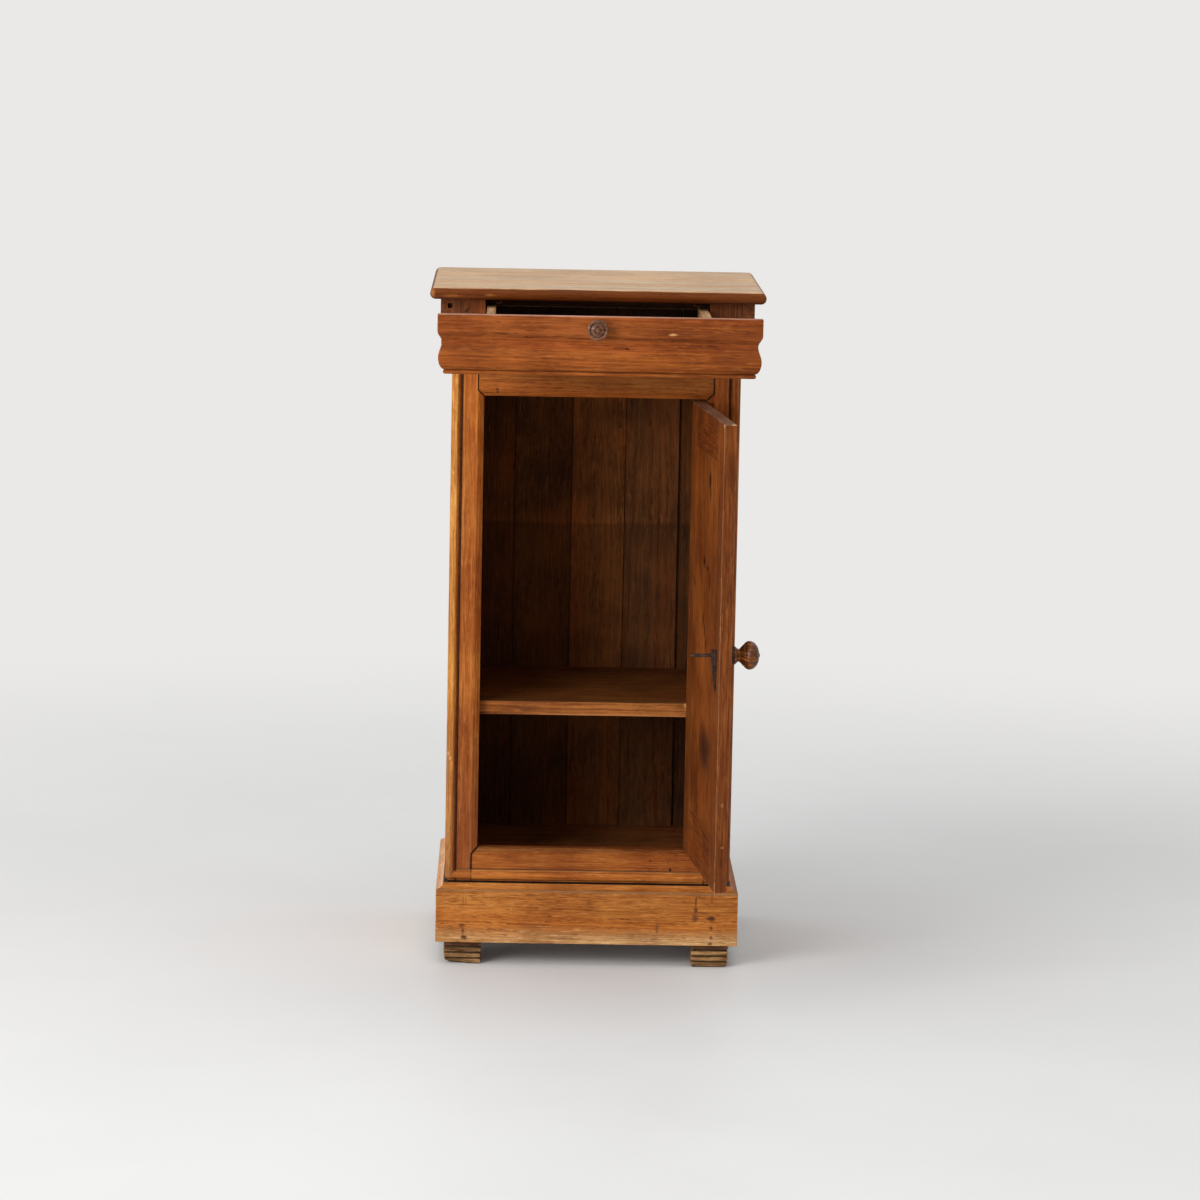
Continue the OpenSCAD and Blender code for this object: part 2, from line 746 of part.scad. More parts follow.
module cupboard_floor() {
  x = side_in_x;
  color("sienna") along_z([[-x, post_back_y], [x, post_back_y], [x, rear_post_y],
    [rear_in_x, rear_post_y], [rear_in_x, back_face_y], [-rear_in_x, back_face_y],
    [-rear_in_x, rear_post_y], [-x, rear_post_y]], floor_low_z, floor_z);
}

module floor_cleats() {
  color("tan") for (side = [-1, 1]) on_side(side)
    block([side_in_x - cleat_w, post_back_y, floor_low_z - cleat_h],
      [side_in_x, rear_post_y, floor_low_z]);
}

module shelf() {
  x = side_in_x - shelf_play;
  y = door_back_y + shelf_gap;
  color("peru") along_z([[-x, y], [side_in_x - notch_w, y], [side_in_x - notch_w, y + notch_d],
    [x, y + notch_d], [x, rear_post_y - shelf_play], [rear_in_x - shelf_play, rear_post_y - shelf_play],
    [rear_in_x - shelf_play, back_face_y - shelf_play],
    [-rear_in_x + shelf_play, back_face_y - shelf_play],
    [-rear_in_x + shelf_play, rear_post_y - shelf_play], [-x, rear_post_y - shelf_play]],
    shelf_z - shelf_t, shelf_z);
}

module shelf_cleat(side) {
  color("tan") on_side(side) block([side_in_x - cleat_w, door_back_y + shelf_gap + notch_d,
    shelf_z - shelf_t - cleat_h], [side_in_x, rear_post_y, shelf_z - shelf_t]);
}

module drawer_runner(side) {
  color("tan") on_side(side) block([side_in_x - runner_w, post_back_y, rail_top_z - runner_t],
    [side_in_x, rear_post_y, rail_top_z]);
}

module drawer_guide(side) {
  color("tan") on_side(side) block([box_x + guide_gap, post_back_y, rail_top_z],
    [side_in_x, rear_post_y, rail_top_z + guide_h]);
}

module drawer_kicker(side) {
  color("tan") on_side(side) block([side_in_x - runner_w, post_back_y, under_top_z - kicker_t],
    [side_in_x, rear_post_y, under_top_z]);
}

// Dovetails at the end of a drawer side, spread from low to high: dir 1 points to the back
module tails_shape(y, dir, low, high) {
  pitch = (high - low) / tails;
  for (i = [0 : tails - 1]) {
    z0 = low + pitch * (i + 0.5);
    w = pitch / 4;
    along_x([[y - dir * cut, z0 - w], [y, z0 - w], [y + dir * tail_l, z0 - w - tail_gap],
      [y + dir * tail_l, z0 + w + tail_gap], [y, z0 + w], [y - dir * cut, z0 + w]],
      box_x - drawer_side_t, box_x);
  }
}

module drawer_pose() {
  translate([0, -drawer_out, 0]) children();
}

// Drawer front: one board, moulded on its face and both ends
module drawer_front() {
  line = frieze_line(drawer_front_h);
  n = len(line) - 1;
  color("chocolate") drawer_pose() difference() {
    union() {
      intersection() {
        along_y(concat([for (p = line) [front_x - p[0], frieze_z + p[1]]],
          [for (i = [n : -1 : 0]) [-front_x + line[i][0], frieze_z + line[i][1]]]),
          front_face_y - cut, core_y);
        along_x(concat([for (p = line) [front_face_y + p[0], frieze_z + p[1]]],
          [[core_y, frieze_z + drawer_front_h], [core_y, frieze_z]]), -front_x, front_x);
      }
      block([-box_x, core_y - cut, box_z], [box_x, core_back_y, box_top_z]);
    }
    for (side = [-1, 1]) on_side(side) front_tails();
    drawer_bottom_solid();
    bar_y(pull_at[0], pull_at[2], pull_at[1] - cut, core_back_y + cut,
      spigot_r + snug, spigot_r + snug);
  }
}

module drawer_side(side) {
  color("burlywood") drawer_pose() on_side(side) difference() {
    union() {
      block([box_x - drawer_side_t, core_back_y, box_z],
        [box_x, box_back_y - drawer_back_t, box_top_z]);
      front_tails();
      rear_tails();
    }
    drawer_bottom_solid();
  }
}

module front_tails() {
  tails_shape(core_back_y, -1, box_z, box_top_z);
}

// Rear dovetails: straight as far as the back is thicker than a tail is long, then flared
module rear_tails() {
  pitch = (drawer_back_top_z - drawer_back_low_z) / tails;
  translate([0, drawer_back_t - tail_l, 0])
    tails_shape(box_back_y - drawer_back_t, 1, drawer_back_low_z, drawer_back_top_z);
  for (i = [0 : tails - 1]) {
    z0 = drawer_back_low_z + pitch * (i + 0.5);
    block([box_x - drawer_side_t, box_back_y - drawer_back_t - cut, z0 - pitch / 4],
      [box_x, box_back_y - tail_l, z0 + pitch / 4]);
  }
}

module drawer_back() {
  color("burlywood") drawer_pose() difference() {
    block([-box_x, box_back_y - drawer_back_t, drawer_back_low_z], [box_x, box_back_y, drawer_back_top_z]);
    for (side = [-1, 1]) on_side(side) rear_tails();
  }
}

module drawer_bottom_solid() {
  x = box_x - drawer_side_t + bottom_groove;
  block([-x, core_back_y - bottom_groove, bottom_z], [x, box_back_y, bottom_z + drawer_bottom_t]);
}

module drawer_bottom() {
  color("burlywood") drawer_pose() drawer_bottom_solid();
}

// Turned drawer knob with rings round a centre button; r and length from the seat
pull_line = concat([[0, 0], [pull_r * 0.55, 0], [pull_r * 0.46, 2], [pull_r * 0.46, 4]],
  [for (i = [0 : 8]) let (t = i / 8) [wave(pull_r * 0.5, pull_r, t), 4 + (pull_l - 9) * t]],
  [for (i = [1 : 6]) let (a = 15 * i) [pull_r - 2.2 * (1 - cos(a)), pull_l - 5 + 2.2 * sin(a)]],
  [[pull_r * 0.66, pull_l - 3.6], [pull_r * 0.6, pull_l - 2.4], [pull_r * 0.44, pull_l - 2.1],
    [pull_r * 0.36, pull_l - 3.1], [nib_r + 0.6, pull_l - 2.6], [nib_r, pull_l - 0.8],
    [nib_r * 0.6, pull_l - 0.2], [0, pull_l]]);

module drawer_knob() {
  color("saddlebrown") drawer_pose() translate(pull_at) rotate([90, 0, 0]) union() {
    rotate_extrude($fn = 64) polygon(pull_line);
    translate([0, 0, -(core_back_y - front_face_y)])
      cylinder(h = core_back_y - front_face_y + cut, r = spigot_r, $fn = 48);
  }
}

module door_pose() {
  translate([hinge_x, hinge_y, 0]) rotate([0, 0, door_open]) translate([-hinge_x, -hinge_y, 0])
    children();
}

// Grooves for the panel, cut from the stiles and rails
module panel_grooves() {
  block([-sight_x - panel_groove, panel_y, sight_z - panel_groove],
    [sight_x + panel_groove, panel_y + panel_tongue_t, sight_top_z + panel_groove]);
}

// Tenons of the door rails, also cut from the stiles as mortises
module door_tenons() {
  for (side = [-1, 1]) on_side(side) {
    block([sight_x - cut, panel_y, door_z + door_tenon_shoulder],
      [sight_x + door_tenon_l, panel_y + panel_tongue_t, sight_z - panel_groove]);
    block([sight_x - cut, panel_y, sight_top_z + panel_groove],
      [sight_x + door_tenon_l, panel_y + panel_tongue_t, door_top_z - door_tenon_shoulder]);
  }
}

// Face of a door rail, mitred to the stiles: edge is its side at the panel, far the other one
module rail_face(edge, far, y0) {
  c = door_chamfer;
  x = sight_x + c;
  z = edge + (far > edge ? c : -c);
  along_y([[-x, far], [-x, z], [-sight_x, edge], [sight_x, edge], [x, z], [x, far]],
    y0, door_y + c);
}

module door_stile(side) {
  c = door_chamfer;
  color("sienna") door_pose() difference() {
    on_side(side) block([sight_x, door_y, door_z], [door_x, door_back_y, door_top_z]);
    on_side(side) along_z([[sight_x - cut, door_y - cut], [sight_x + c + cut, door_y - cut],
      [sight_x - cut, door_y + c + cut]], sight_z - c, sight_top_z + c);
    rail_face(sight_z, door_z - cut, door_y - cut);
    rail_face(sight_top_z, door_top_z + cut, door_y - cut);
    panel_grooves();
    door_tenons();
    if (side < 0) {
      bar_y(latch_x, latch_z, door_y - cut, door_back_y + cut,
        spindle_r + spindle_play, spindle_r + spindle_play);
    }
    if (side > 0) {
      for (z = hinge_zs) {
        block([door_x - leaf_t, door_y - cut, z - leaf_h / 2],
          [door_x + cut, hinge_y + leaf_w, z + leaf_h / 2]);
        translate([hinge_x, hinge_y, z - leaf_h / 2])
          cylinder(h = leaf_h, r = barrel_r + barrel_clear, $fn = 48);
        for (i = [-1 : 1]) {
          translate([door_x - screw_l - snug, hinge_y + screw_reach, z + i * screw_step])
            rotate([0, 90, 0]) cylinder(h = screw_l + snug + cut, r = screw_r + snug, $fn = 24);
        }
      }
    }
  }
}

module door_rail(edge, far) {
  c = door_chamfer;
  up = far > edge ? 1 : -1;
  z0 = min(edge, far);
  z1 = max(edge, far);
  color("sienna") door_pose() difference() {
    union() {
      block([-sight_x, door_y, z0], [sight_x, door_back_y, z1]);
      rail_face(edge, far, door_y);
      intersection() {
        door_tenons();
        block([-door_x, door_y, z0], [door_x, door_back_y, z1]);
      }
    }
    along_x([[door_y - cut, edge - up * cut], [door_y - cut, edge + up * (c + cut)],
      [door_y + c + cut, edge - up * cut]], -door_x, door_x);
    intersection() {
      panel_grooves();
      block([-sight_x - cut, door_y, z0 - cut], [sight_x + cut, door_back_y, z1 + cut]);
    }
  }
}

module door_rail_top() {
  door_rail(sight_top_z, door_top_z);
}

module door_rail_bottom() {
  door_rail(sight_z, door_z);
}

module door_panel() {
  reach = panel_groove - panel_play;
  color("chocolate") door_pose() union() {
    block([-sight_x + panel_play, panel_y, sight_z + panel_play],
      [sight_x - panel_play, door_back_y, sight_top_z - panel_play]);
    block([-sight_x - reach, panel_y, sight_z - reach],
      [sight_x + reach, panel_y + panel_tongue_t, sight_top_z + reach]);
  }
}

// One hinge leaf round the pin's axis: frame knuckles at both ends, door knuckle between
module leaf(x0, x1, frame) {
  difference() {
    union() {
      block([x0, 0, -leaf_h / 2], [x1, leaf_w, leaf_h / 2]);
      cylinder(h = leaf_h, r = barrel_r, center = true, $fn = 48);
    }
    if (frame) {
      cylinder(h = knuckle_h + 2 * knuckle_gap, r = barrel_r + barrel_clear, center = true, $fn = 48);
    } else {
      for (s = [-1, 1]) translate([0, 0, s * (knuckle_h + knuckle_gap)])
        cylinder(h = knuckle_h + 2 * knuckle_gap, r = barrel_r + barrel_clear, center = true,
          $fn = 48);
    }
    cylinder(h = leaf_h + 2 * cut, r = pin_r + pin_play, center = true, $fn = 48);
    for (i = [-1 : 1]) translate([frame ? x0 : x1, screw_reach, i * screw_step])
      rotate([0, frame ? 90 : -90, 0]) {
        cylinder(h = leaf_t, r1 = screw_head_r + snug, r2 = screw_r + snug, $fn = 32);
        cylinder(h = leaf_t + cut, r = screw_r + snug, $fn = 32);
      }
  }
}

module hinge_frame_leaves() {
  color("dimgray") for (z = hinge_zs) translate([hinge_x, hinge_y, z])
    leaf(open_x - hinge_x, open_x - hinge_x + leaf_t, true);
}

module hinge_door_leaves() {
  color("dimgray") door_pose() for (z = hinge_zs) translate([hinge_x, hinge_y, z])
    leaf(door_x - hinge_x - leaf_t, door_x - hinge_x, false);
}

module hinge_pins() {
  h = leaf_h + 2 * pin_head_h;
  color("gray") for (z = hinge_zs) translate([hinge_x, hinge_y, z - h / 2]) union() {
    cylinder(h = h, r = pin_r, $fn = 48);
    cylinder(h = pin_head_h, r1 = pin_r, r2 = barrel_r - 0.35, $fn = 48);
    translate([0, 0, h - pin_head_h]) cylinder(h = pin_head_h, r1 = barrel_r - 0.35, r2 = pin_r,
      $fn = 48);
  }
}

// Countersunk screw along +X from the leaf's face, with a slotted head
module screw() {
  rotate([0, 90, 0]) difference() {
    union() {
      cylinder(h = leaf_t, r1 = screw_head_r, r2 = screw_r, $fn = 32);
      cylinder(h = screw_l - 2, r = screw_r, $fn = 32);
      translate([0, 0, screw_l - 2]) cylinder(h = 2, r1 = screw_r, r2 = 0.3, $fn = 32);
    }
    translate([-screw_head_r, -0.35, -cut]) cube([2 * screw_head_r, 0.7, cut + 0.5]);
  }
}

module hinge_frame_screws() {
  color("gray") for (z = hinge_zs) for (i = [-1 : 1])
    translate([open_x, hinge_y + screw_reach, z + i * screw_step]) screw();
}

module hinge_door_screws() {
  color("gray") door_pose() for (z = hinge_zs) for (i = [-1 : 1])
    translate([door_x, hinge_y + screw_reach, z + i * screw_step]) rotate([0, 0, 180]) screw();
}

module knob_rosette() {
  color("dimgray") door_pose() difference() {
    bar_y(latch_x, latch_z, door_y - rosette_t, door_y, rosette_r - 0.6, rosette_r);
    bar_y(latch_x, latch_z, door_y - rosette_t - cut, door_y + cut,
      spindle_r + spindle_play, spindle_r + spindle_play);
  }
}

// Turned door knob; r and length from its seat
knob_line = concat([[0, 0], [neck_r + 0.5, 0], [neck_r, 1], [neck_r, neck_l]],
  [for (i = [1 : 10]) [wave(neck_r, knob_r, i / 10), neck_l + flare_l * i / 10]],
  [for (i = [1 : 10]) let (a = 7.4 * i)
    [knob_r * cos(a), neck_l + flare_l + dome_l * sin(a) / sin(74)]],
  [[nib_r, neck_l + flare_l + dome_l], [nib_r * 0.9, neck_l + flare_l + dome_l + nib_l * 0.6],
    [0, neck_l + flare_l + dome_l + nib_l]]);

module door_knob() {
  color("saddlebrown") door_pose() difference() {
    translate([latch_x, knob_y, latch_z]) rotate([90, 0, 0])
      rotate_extrude($fn = 64) polygon(knob_line);
    bar_y(latch_x, latch_z, knob_y - knob_bore_l - snug, knob_y + cut,
      spindle_r + snug, spindle_r + snug);
  }
}

module latch_spindle() {
  y1 = latch_y + arm_t + spindle_l;
  color("dimgray") door_pose() union() {
    bar_y(latch_x, latch_z, knob_y - knob_bore_l, y1 - point_l, spindle_r, spindle_r);
    bar_y(latch_x, latch_z, y1 - point_l, y1, spindle_r, 0.3);
  }
}

// Forged wedge-shaped arm that hangs from the spindle
module latch_arm() {
  y0 = latch_y;
  color("dimgray") door_pose() difference() {
    intersection() {
      along_y([[latch_x - arm_w / 2, latch_z + arm_top], [latch_x + arm_w / 2, latch_z + arm_top],
        [latch_x + arm_w / 2, latch_z - arm_top], [latch_x + arm_tip_w / 2, latch_z - arm_l + cut],
        [latch_x, latch_z - arm_l], [latch_x - arm_tip_w / 2, latch_z - arm_l + cut],
        [latch_x - arm_w / 2, latch_z - arm_top]], y0, y0 + arm_t);
      along_x([[y0, latch_z + arm_top], [y0 + arm_t, latch_z + arm_top],
        [y0 + arm_t, latch_z - arm_top], [y0 + arm_tip_t, latch_z - arm_l],
        [y0, latch_z - arm_l]], latch_x - arm_w, latch_x + arm_w);
    }
    bar_y(latch_x, latch_z, y0 - cut, y0 + arm_t + cut, spindle_r + snug, spindle_r + snug);
  }
}

top_board_front();
top_board_rear();
front_post(-1);  // front_post_left
front_post(1);  // front_post_right
rear_post(-1);  // rear_post_left
rear_post(1);  // rear_post_right
side_panel(-1);  // side_panel_left
side_panel(1);  // side_panel_right
upper_rail();
bottom_rail();
rear_top_rail();
rear_bottom_rail();
frieze(-1);  // frieze_left
frieze(1);  // frieze_right
plinth_front();
plinth_side(-1);  // plinth_left
plinth_side(1);  // plinth_right
foot(-1, plinth_y + foot_setback);  // foot_front_left
foot(1, plinth_y + foot_setback);  // foot_front_right
foot(-1, back_y - foot_back_setback - foot_w);  // foot_rear_left
foot(1, back_y - foot_back_setback - foot_w);  // foot_rear_right
corner_blocks();
back_board(0);  // back_board_1
back_board(1);  // back_board_2
back_board(2);  // back_board_3
back_board(3);  // back_board_4
back_board(4);  // back_board_5
back_nails();
cupboard_floor();
floor_cleats();
shelf();
shelf_cleat(-1);  // shelf_cleat_left
shelf_cleat(1);  // shelf_cleat_right
drawer_runner(-1);  // drawer_runner_left
drawer_runner(1);  // drawer_runner_right
drawer_guide(-1);  // drawer_guide_left
drawer_guide(1);  // drawer_guide_right
drawer_kicker(-1);  // drawer_kicker_left
drawer_kicker(1);  // drawer_kicker_right
drawer_front();
drawer_side(-1);  // drawer_side_left
drawer_side(1);  // drawer_side_right
drawer_back();
drawer_bottom();
drawer_knob();
door_stile(1);  // door_stile_hinge
door_stile(-1);  // door_stile_latch
door_rail_top();
door_rail_bottom();
door_panel();
hinge_frame_leaves();
hinge_door_leaves();
hinge_pins();
hinge_frame_screws();
hinge_door_screws();
knob_rosette();
door_knob();
latch_spindle();
latch_arm();
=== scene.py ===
# An old oak bedside cupboard with its drawer pulled out and its door open.
# Metres; the front faces -Y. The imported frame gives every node's place.
import json
from math import cos, pi, radians, sin

import bmesh
import bpy
import numpy as np
from mathutils import Matrix, Vector

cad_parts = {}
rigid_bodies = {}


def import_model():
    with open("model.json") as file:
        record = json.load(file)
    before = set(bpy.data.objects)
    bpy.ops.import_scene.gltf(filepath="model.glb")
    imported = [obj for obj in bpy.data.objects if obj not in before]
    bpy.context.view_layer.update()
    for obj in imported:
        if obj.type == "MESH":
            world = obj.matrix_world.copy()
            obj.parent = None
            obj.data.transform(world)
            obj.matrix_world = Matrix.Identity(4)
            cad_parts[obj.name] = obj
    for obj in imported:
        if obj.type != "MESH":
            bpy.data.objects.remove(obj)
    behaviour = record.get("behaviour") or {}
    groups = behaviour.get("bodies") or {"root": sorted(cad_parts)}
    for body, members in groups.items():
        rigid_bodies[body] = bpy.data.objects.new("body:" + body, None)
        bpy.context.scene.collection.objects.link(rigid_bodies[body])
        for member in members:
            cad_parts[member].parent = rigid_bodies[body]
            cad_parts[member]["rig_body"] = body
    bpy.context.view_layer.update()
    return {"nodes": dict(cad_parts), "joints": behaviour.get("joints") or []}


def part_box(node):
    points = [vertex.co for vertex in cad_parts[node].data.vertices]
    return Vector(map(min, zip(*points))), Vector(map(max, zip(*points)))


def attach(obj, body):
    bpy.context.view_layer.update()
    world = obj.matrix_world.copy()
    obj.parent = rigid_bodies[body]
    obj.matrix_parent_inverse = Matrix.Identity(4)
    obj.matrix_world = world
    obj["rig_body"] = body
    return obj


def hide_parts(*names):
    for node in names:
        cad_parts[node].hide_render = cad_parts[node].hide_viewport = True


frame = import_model()
nodes = frame["nodes"]
print("frame loaded:", len(nodes), "nodes")

# Camera: the photograph's standpoint, looking slightly down and to the right
cameraView = {
    "place": (-0.089495, -5.586211, 1.211115),
    "yaw": 0.0180511,
    "pitch": 0.1413208,
    "roll": 0.0192476,
    "lens": 141.31,
}


def addCamera(view):
    forward = Vector((sin(view["yaw"]) * cos(view["pitch"]), cos(view["yaw"]) * cos(view["pitch"]),
                      -sin(view["pitch"])))
    level = Vector((cos(view["yaw"]), -sin(view["yaw"]), 0))
    above = level.cross(forward)
    right = level * cos(view["roll"]) + above * sin(view["roll"])
    up = above * cos(view["roll"]) - level * sin(view["roll"])
    data = bpy.data.cameras.new("camera")
    data.lens = view["lens"]
    data.sensor_width = 36
    data.sensor_fit = "HORIZONTAL"
    camera = bpy.data.objects.new("camera", data)
    camera.matrix_world = Matrix((right, up, -forward)).transposed().to_4x4()
    camera.matrix_world.translation = Vector(view["place"])
    bpy.context.collection.objects.link(camera)
    bpy.context.scene.camera = camera


addCamera(cameraView)
print("camera placed")


def tone(red, green, blue):  # a colour read on a screen, 0 to 255, as linear light
    return tuple(c / 3294.6 if c <= 10 else ((c / 255 + 0.055) / 1.055) ** 2.4 for c in (red, green, blue))


class Wire:  # one output of a shader node, ready for sums
    def __init__(self, tree, socket):
        self.tree = tree
        self.socket = socket

    def node(self, kind, links, settings=None, output=0):  # any node: settings first, then inputs
        made = self.tree.nodes.new("ShaderNode" + kind)
        for name, value in (settings or {}).items():
            if name == "stops":
                while len(made.color_ramp.elements) < len(value):
                    made.color_ramp.elements.new(0.5)
                for stop, (place, colour) in zip(made.color_ramp.elements, value):
                    stop.position = place
                    stop.color = (*colour, 1)
            else:
                setattr(made, name, value)
        for name, value in links.items():
            if isinstance(value, Wire):
                self.tree.links.new(value.socket, made.inputs[name])
            elif isinstance(value, tuple) and len(value) == 3 and made.inputs[name].type == "RGBA":
                made.inputs[name].default_value = (*value, 1)
            else:
                made.inputs[name].default_value = value
        return Wire(self.tree, made.outputs[output] if made.outputs else None)

    def sum(self, operation, first, second):
        return self.node("Math", {0: first, 1: second}, {"operation": operation})

    def __add__(self, other):
        return self.sum("ADD", self, other)

    def __sub__(self, other):
        return self.sum("SUBTRACT", self, other)

    def __mul__(self, other):
        return self.sum("MULTIPLY", self, other)

    def __rsub__(self, other):
        return self.sum("SUBTRACT", other, self)

    __radd__ = __add__
    __rmul__ = __mul__

    def most(self, other):
        return self.sum("MAXIMUM", self, other)

    def rise(self, low, high):  # 0 below low, 1 above high, an S between them
        return self.node("MapRange", {"Value": self, "From Min": low, "From Max": high},
                         {"interpolation_type": "SMOOTHSTEP"})

    def mixed(self, first, second):  # from the first colour to the second by this factor
        return self.node("Mix", {0: self, 6: first, 7: second}, {"data_type": "RGBA"}, 2)

    def noise(self, scale, detail=2.0, rough=0.5, warp=0.0):  # this vector's noise, about 0.5
        return self.node("TexNoise", {"Vector": self, "Scale": scale, "Detail": detail, "Roughness": rough,
                                      "Distortion": warp})

    def vector(self, operation, other):
        return self.node("VectorMath", {0: self, 1: other}, {"operation": operation})

    def scaled(self, x, y, z):
        return self.vector("MULTIPLY", (x, y, z))

    def grained(self, size):  # scaled by features per metre, along the grain and across it
        return self.scaled(size[0], size[1], size[1])

    def times(self, vector):  # this number times a vector or a colour
        return self.node("VectorMath", {0: vector, "Scale": self}, {"operation": "SCALE"})

    def dot(self, other):
        return self.node("VectorMath", {0: self, 1: other}, {"operation": "DOT_PRODUCT"}, 1)

    def moved(self, x, y, z):
        return self.vector("ADD", (x, y, z))

    def length(self):
        return self.node("VectorMath", {0: self}, {"operation": "LENGTH"}, 1)

    def parts(self):
        split = self.node("SeparateXYZ", {"Vector": self})
        return [Wire(self.tree, output) for output in split.socket.node.outputs]

    def joined(self, x, y, z):
        return self.node("CombineXYZ", {"X": x, "Y": y, "Z": z})


def newMaterial(name):
    material = bpy.data.materials.new(name)
    material.use_nodes = True
    tree = material.node_tree
    tree.nodes.clear()
    return material, Wire(tree, tree.nodes.new("ShaderNodeTexCoord").outputs["Object"])


def surface(place, settings):  # the closing shader, its plain values on its own sockets
    shader = place.node("BsdfPrincipled", settings)
    place.node("OutputMaterial", {"Surface": shader})


# The door's grain and marks are laid out as if it were closed, from its hinge axis
doorHinge = next(joint for joint in frame["joints"] if joint["name"] == "door_hinge")
doorTurn = {"axis": (*doorHinge["pos_m"][:2], 0.0), "angle": radians(-doorHinge["range_deg"][0])}

# One wood's values, all of which a piece may change: sizes are features per metre along and across the
# grain, colours run from 0 to 255, and the other numbers are shares, or lengths in metres.
oak = {
    "grain": "z", "seed": 1, "door": False, "sway": 0.016, "pith": (0.03, 0.07),
    "bandScale": 420, "bands": 0.42, "streakSize": (10, 270), "streaks": 0.95, "patina": 0.8,
    "pores": 0.6, "dashSize": (60, 430), "dashes": 0.5, "flecks": 0.3, "fibre": 0.6,
    "deep": (128, 62, 20), "mid": (160, 88, 33), "light": (186, 114, 52), "pore": (70, 30, 9),
    "edge": (206, 150, 96), "edgeAmount": 0.5, "edgeWidth": 0.0022, "edgeBreak": 1.0,
    "grimeShade": (30, 14, 6), "dirtShade": 0.75, "dirtShadeReach": 0.010, "rough": 0.5, "bump": 0.5, "shine": 0.12,
    "zones": (), "zonesBefore": None, "spots": (), "lines": (), "rings": None,
}
# Sizes that all the oak shares, again along and across the grain
figureSize = {"sway": (2.4, 12), "warm": (1.7, 26), "fibre": (20, 720), "cluster": (7, 45),
              "pore": (95, 1400), "fleck": (48, 390), "patina": 11, "bandAlong": 0.02}


def grainSpace(place, look):  # the world's place, and the same with x along the grain, moved by the seed
    if look["door"]:
        place = place.node("Mapping", {"Vector": place, "Location": doorTurn["axis"],
                                       "Rotation": (0, 0, doorTurn["angle"])}, {"vector_type": "TEXTURE"})
    x, y, z = place.parts()
    order = {"x": (x, z, y), "z": (z, x, y), "y": (y, x, z),
             "zy": (z, y, x), "xy": (x, y, z)}[look["grain"]]
    seed = look["seed"]
    return place, place.joined(*order).moved(0.37 * seed, 0.11 * seed % 0.7, 0.071 * seed % 0.5)


# Sawn oak. Growth bands are a noise of one number, the distance from the pith:
#   distance = length(bandAlong * along, across + pith + sway, deep + pith + sway)
#   figure = 0.5 + bands (noise(distance) - 0.5) + streaks (long noise - 0.5) + patina (round noise - 0.5)
# and the ramp turns the figure into colour. Pores are short stretched noise cut off high, in clusters.
def oakFigure(world, grain, look):
    sway = grain.grained(figureSize["sway"]).noise(1, 2) - 0.5
    along, across, deep = grain.parts()
    bent = world.joined(along, across + sway * look["sway"], deep + sway * (look["sway"] * 0.6))
    distance = bent.moved(0, *look["pith"]).scaled(figureSize["bandAlong"], 1, 1).length()
    bands = distance.node("TexNoise", {"W": distance, "Scale": look["bandScale"], "Detail": 3,
                                       "Roughness": 0.62}, {"noise_dimensions": "1D"})
    streaks = bent.grained(look["streakSize"]).noise(1, 4, 0.66, 0.3)
    patina = world.noise(figureSize["patina"], 4, 0.6)
    figure = (bands - 0.5) * look["bands"] + (streaks - 0.5) * look["streaks"]
    figure = figure + (patina - 0.5) * look["patina"] + 0.5
    colour = figure.node("ValToRGB", {"Fac": figure}, {"stops": [
        (0.30, tone(*look["deep"])), (0.5, tone(*look["mid"])), (0.70, tone(*look["light"]))]})
    warm = bent.grained(figureSize["warm"]).noise(1, 2).rise(0.35, 0.65)
    tint = warm.mixed((0.95, 1.02, 1.08), (1.05, 0.97, 0.88))
    colour = colour.vector("MULTIPLY", tint)
    fibre = bent.grained(figureSize["fibre"]).noise(1, 2, 0.6)
    colour = ((fibre - 0.5) * look["fibre"] + 1).times(colour)
    porous = bent.grained(figureSize["cluster"]).noise(1, 2).rise(0.38, 0.62)
    cluster = bands.rise(0.62, 0.40) * (porous * 0.8 + 0.2)
    pores = bent.grained(figureSize["pore"]).noise(1, 1, 0.6).rise(0.57, 0.68) * (cluster * 0.8 + 0.2)
    dashes = bent.grained(look["dashSize"]).noise(1, 2, 0.6).rise(0.55, 0.68) * (cluster * 0.6 + 0.4)
    flecks = bent.moved(0.3, 0.2, 0.1).grained(figureSize["fleck"]).noise(1, 2, 0.6).rise(0.56, 0.70)
    pale = [min(255, 1.1 * c + 14) for c in look["light"]]
    colour = (flecks * look["flecks"]).mixed(colour, tone(*pale))
    colour = (pores * look["pores"]).most(dashes * look["dashes"]).mixed(colour, tone(*look["pore"]))
    return colour, pores.most(dashes), fibre, streaks, patina
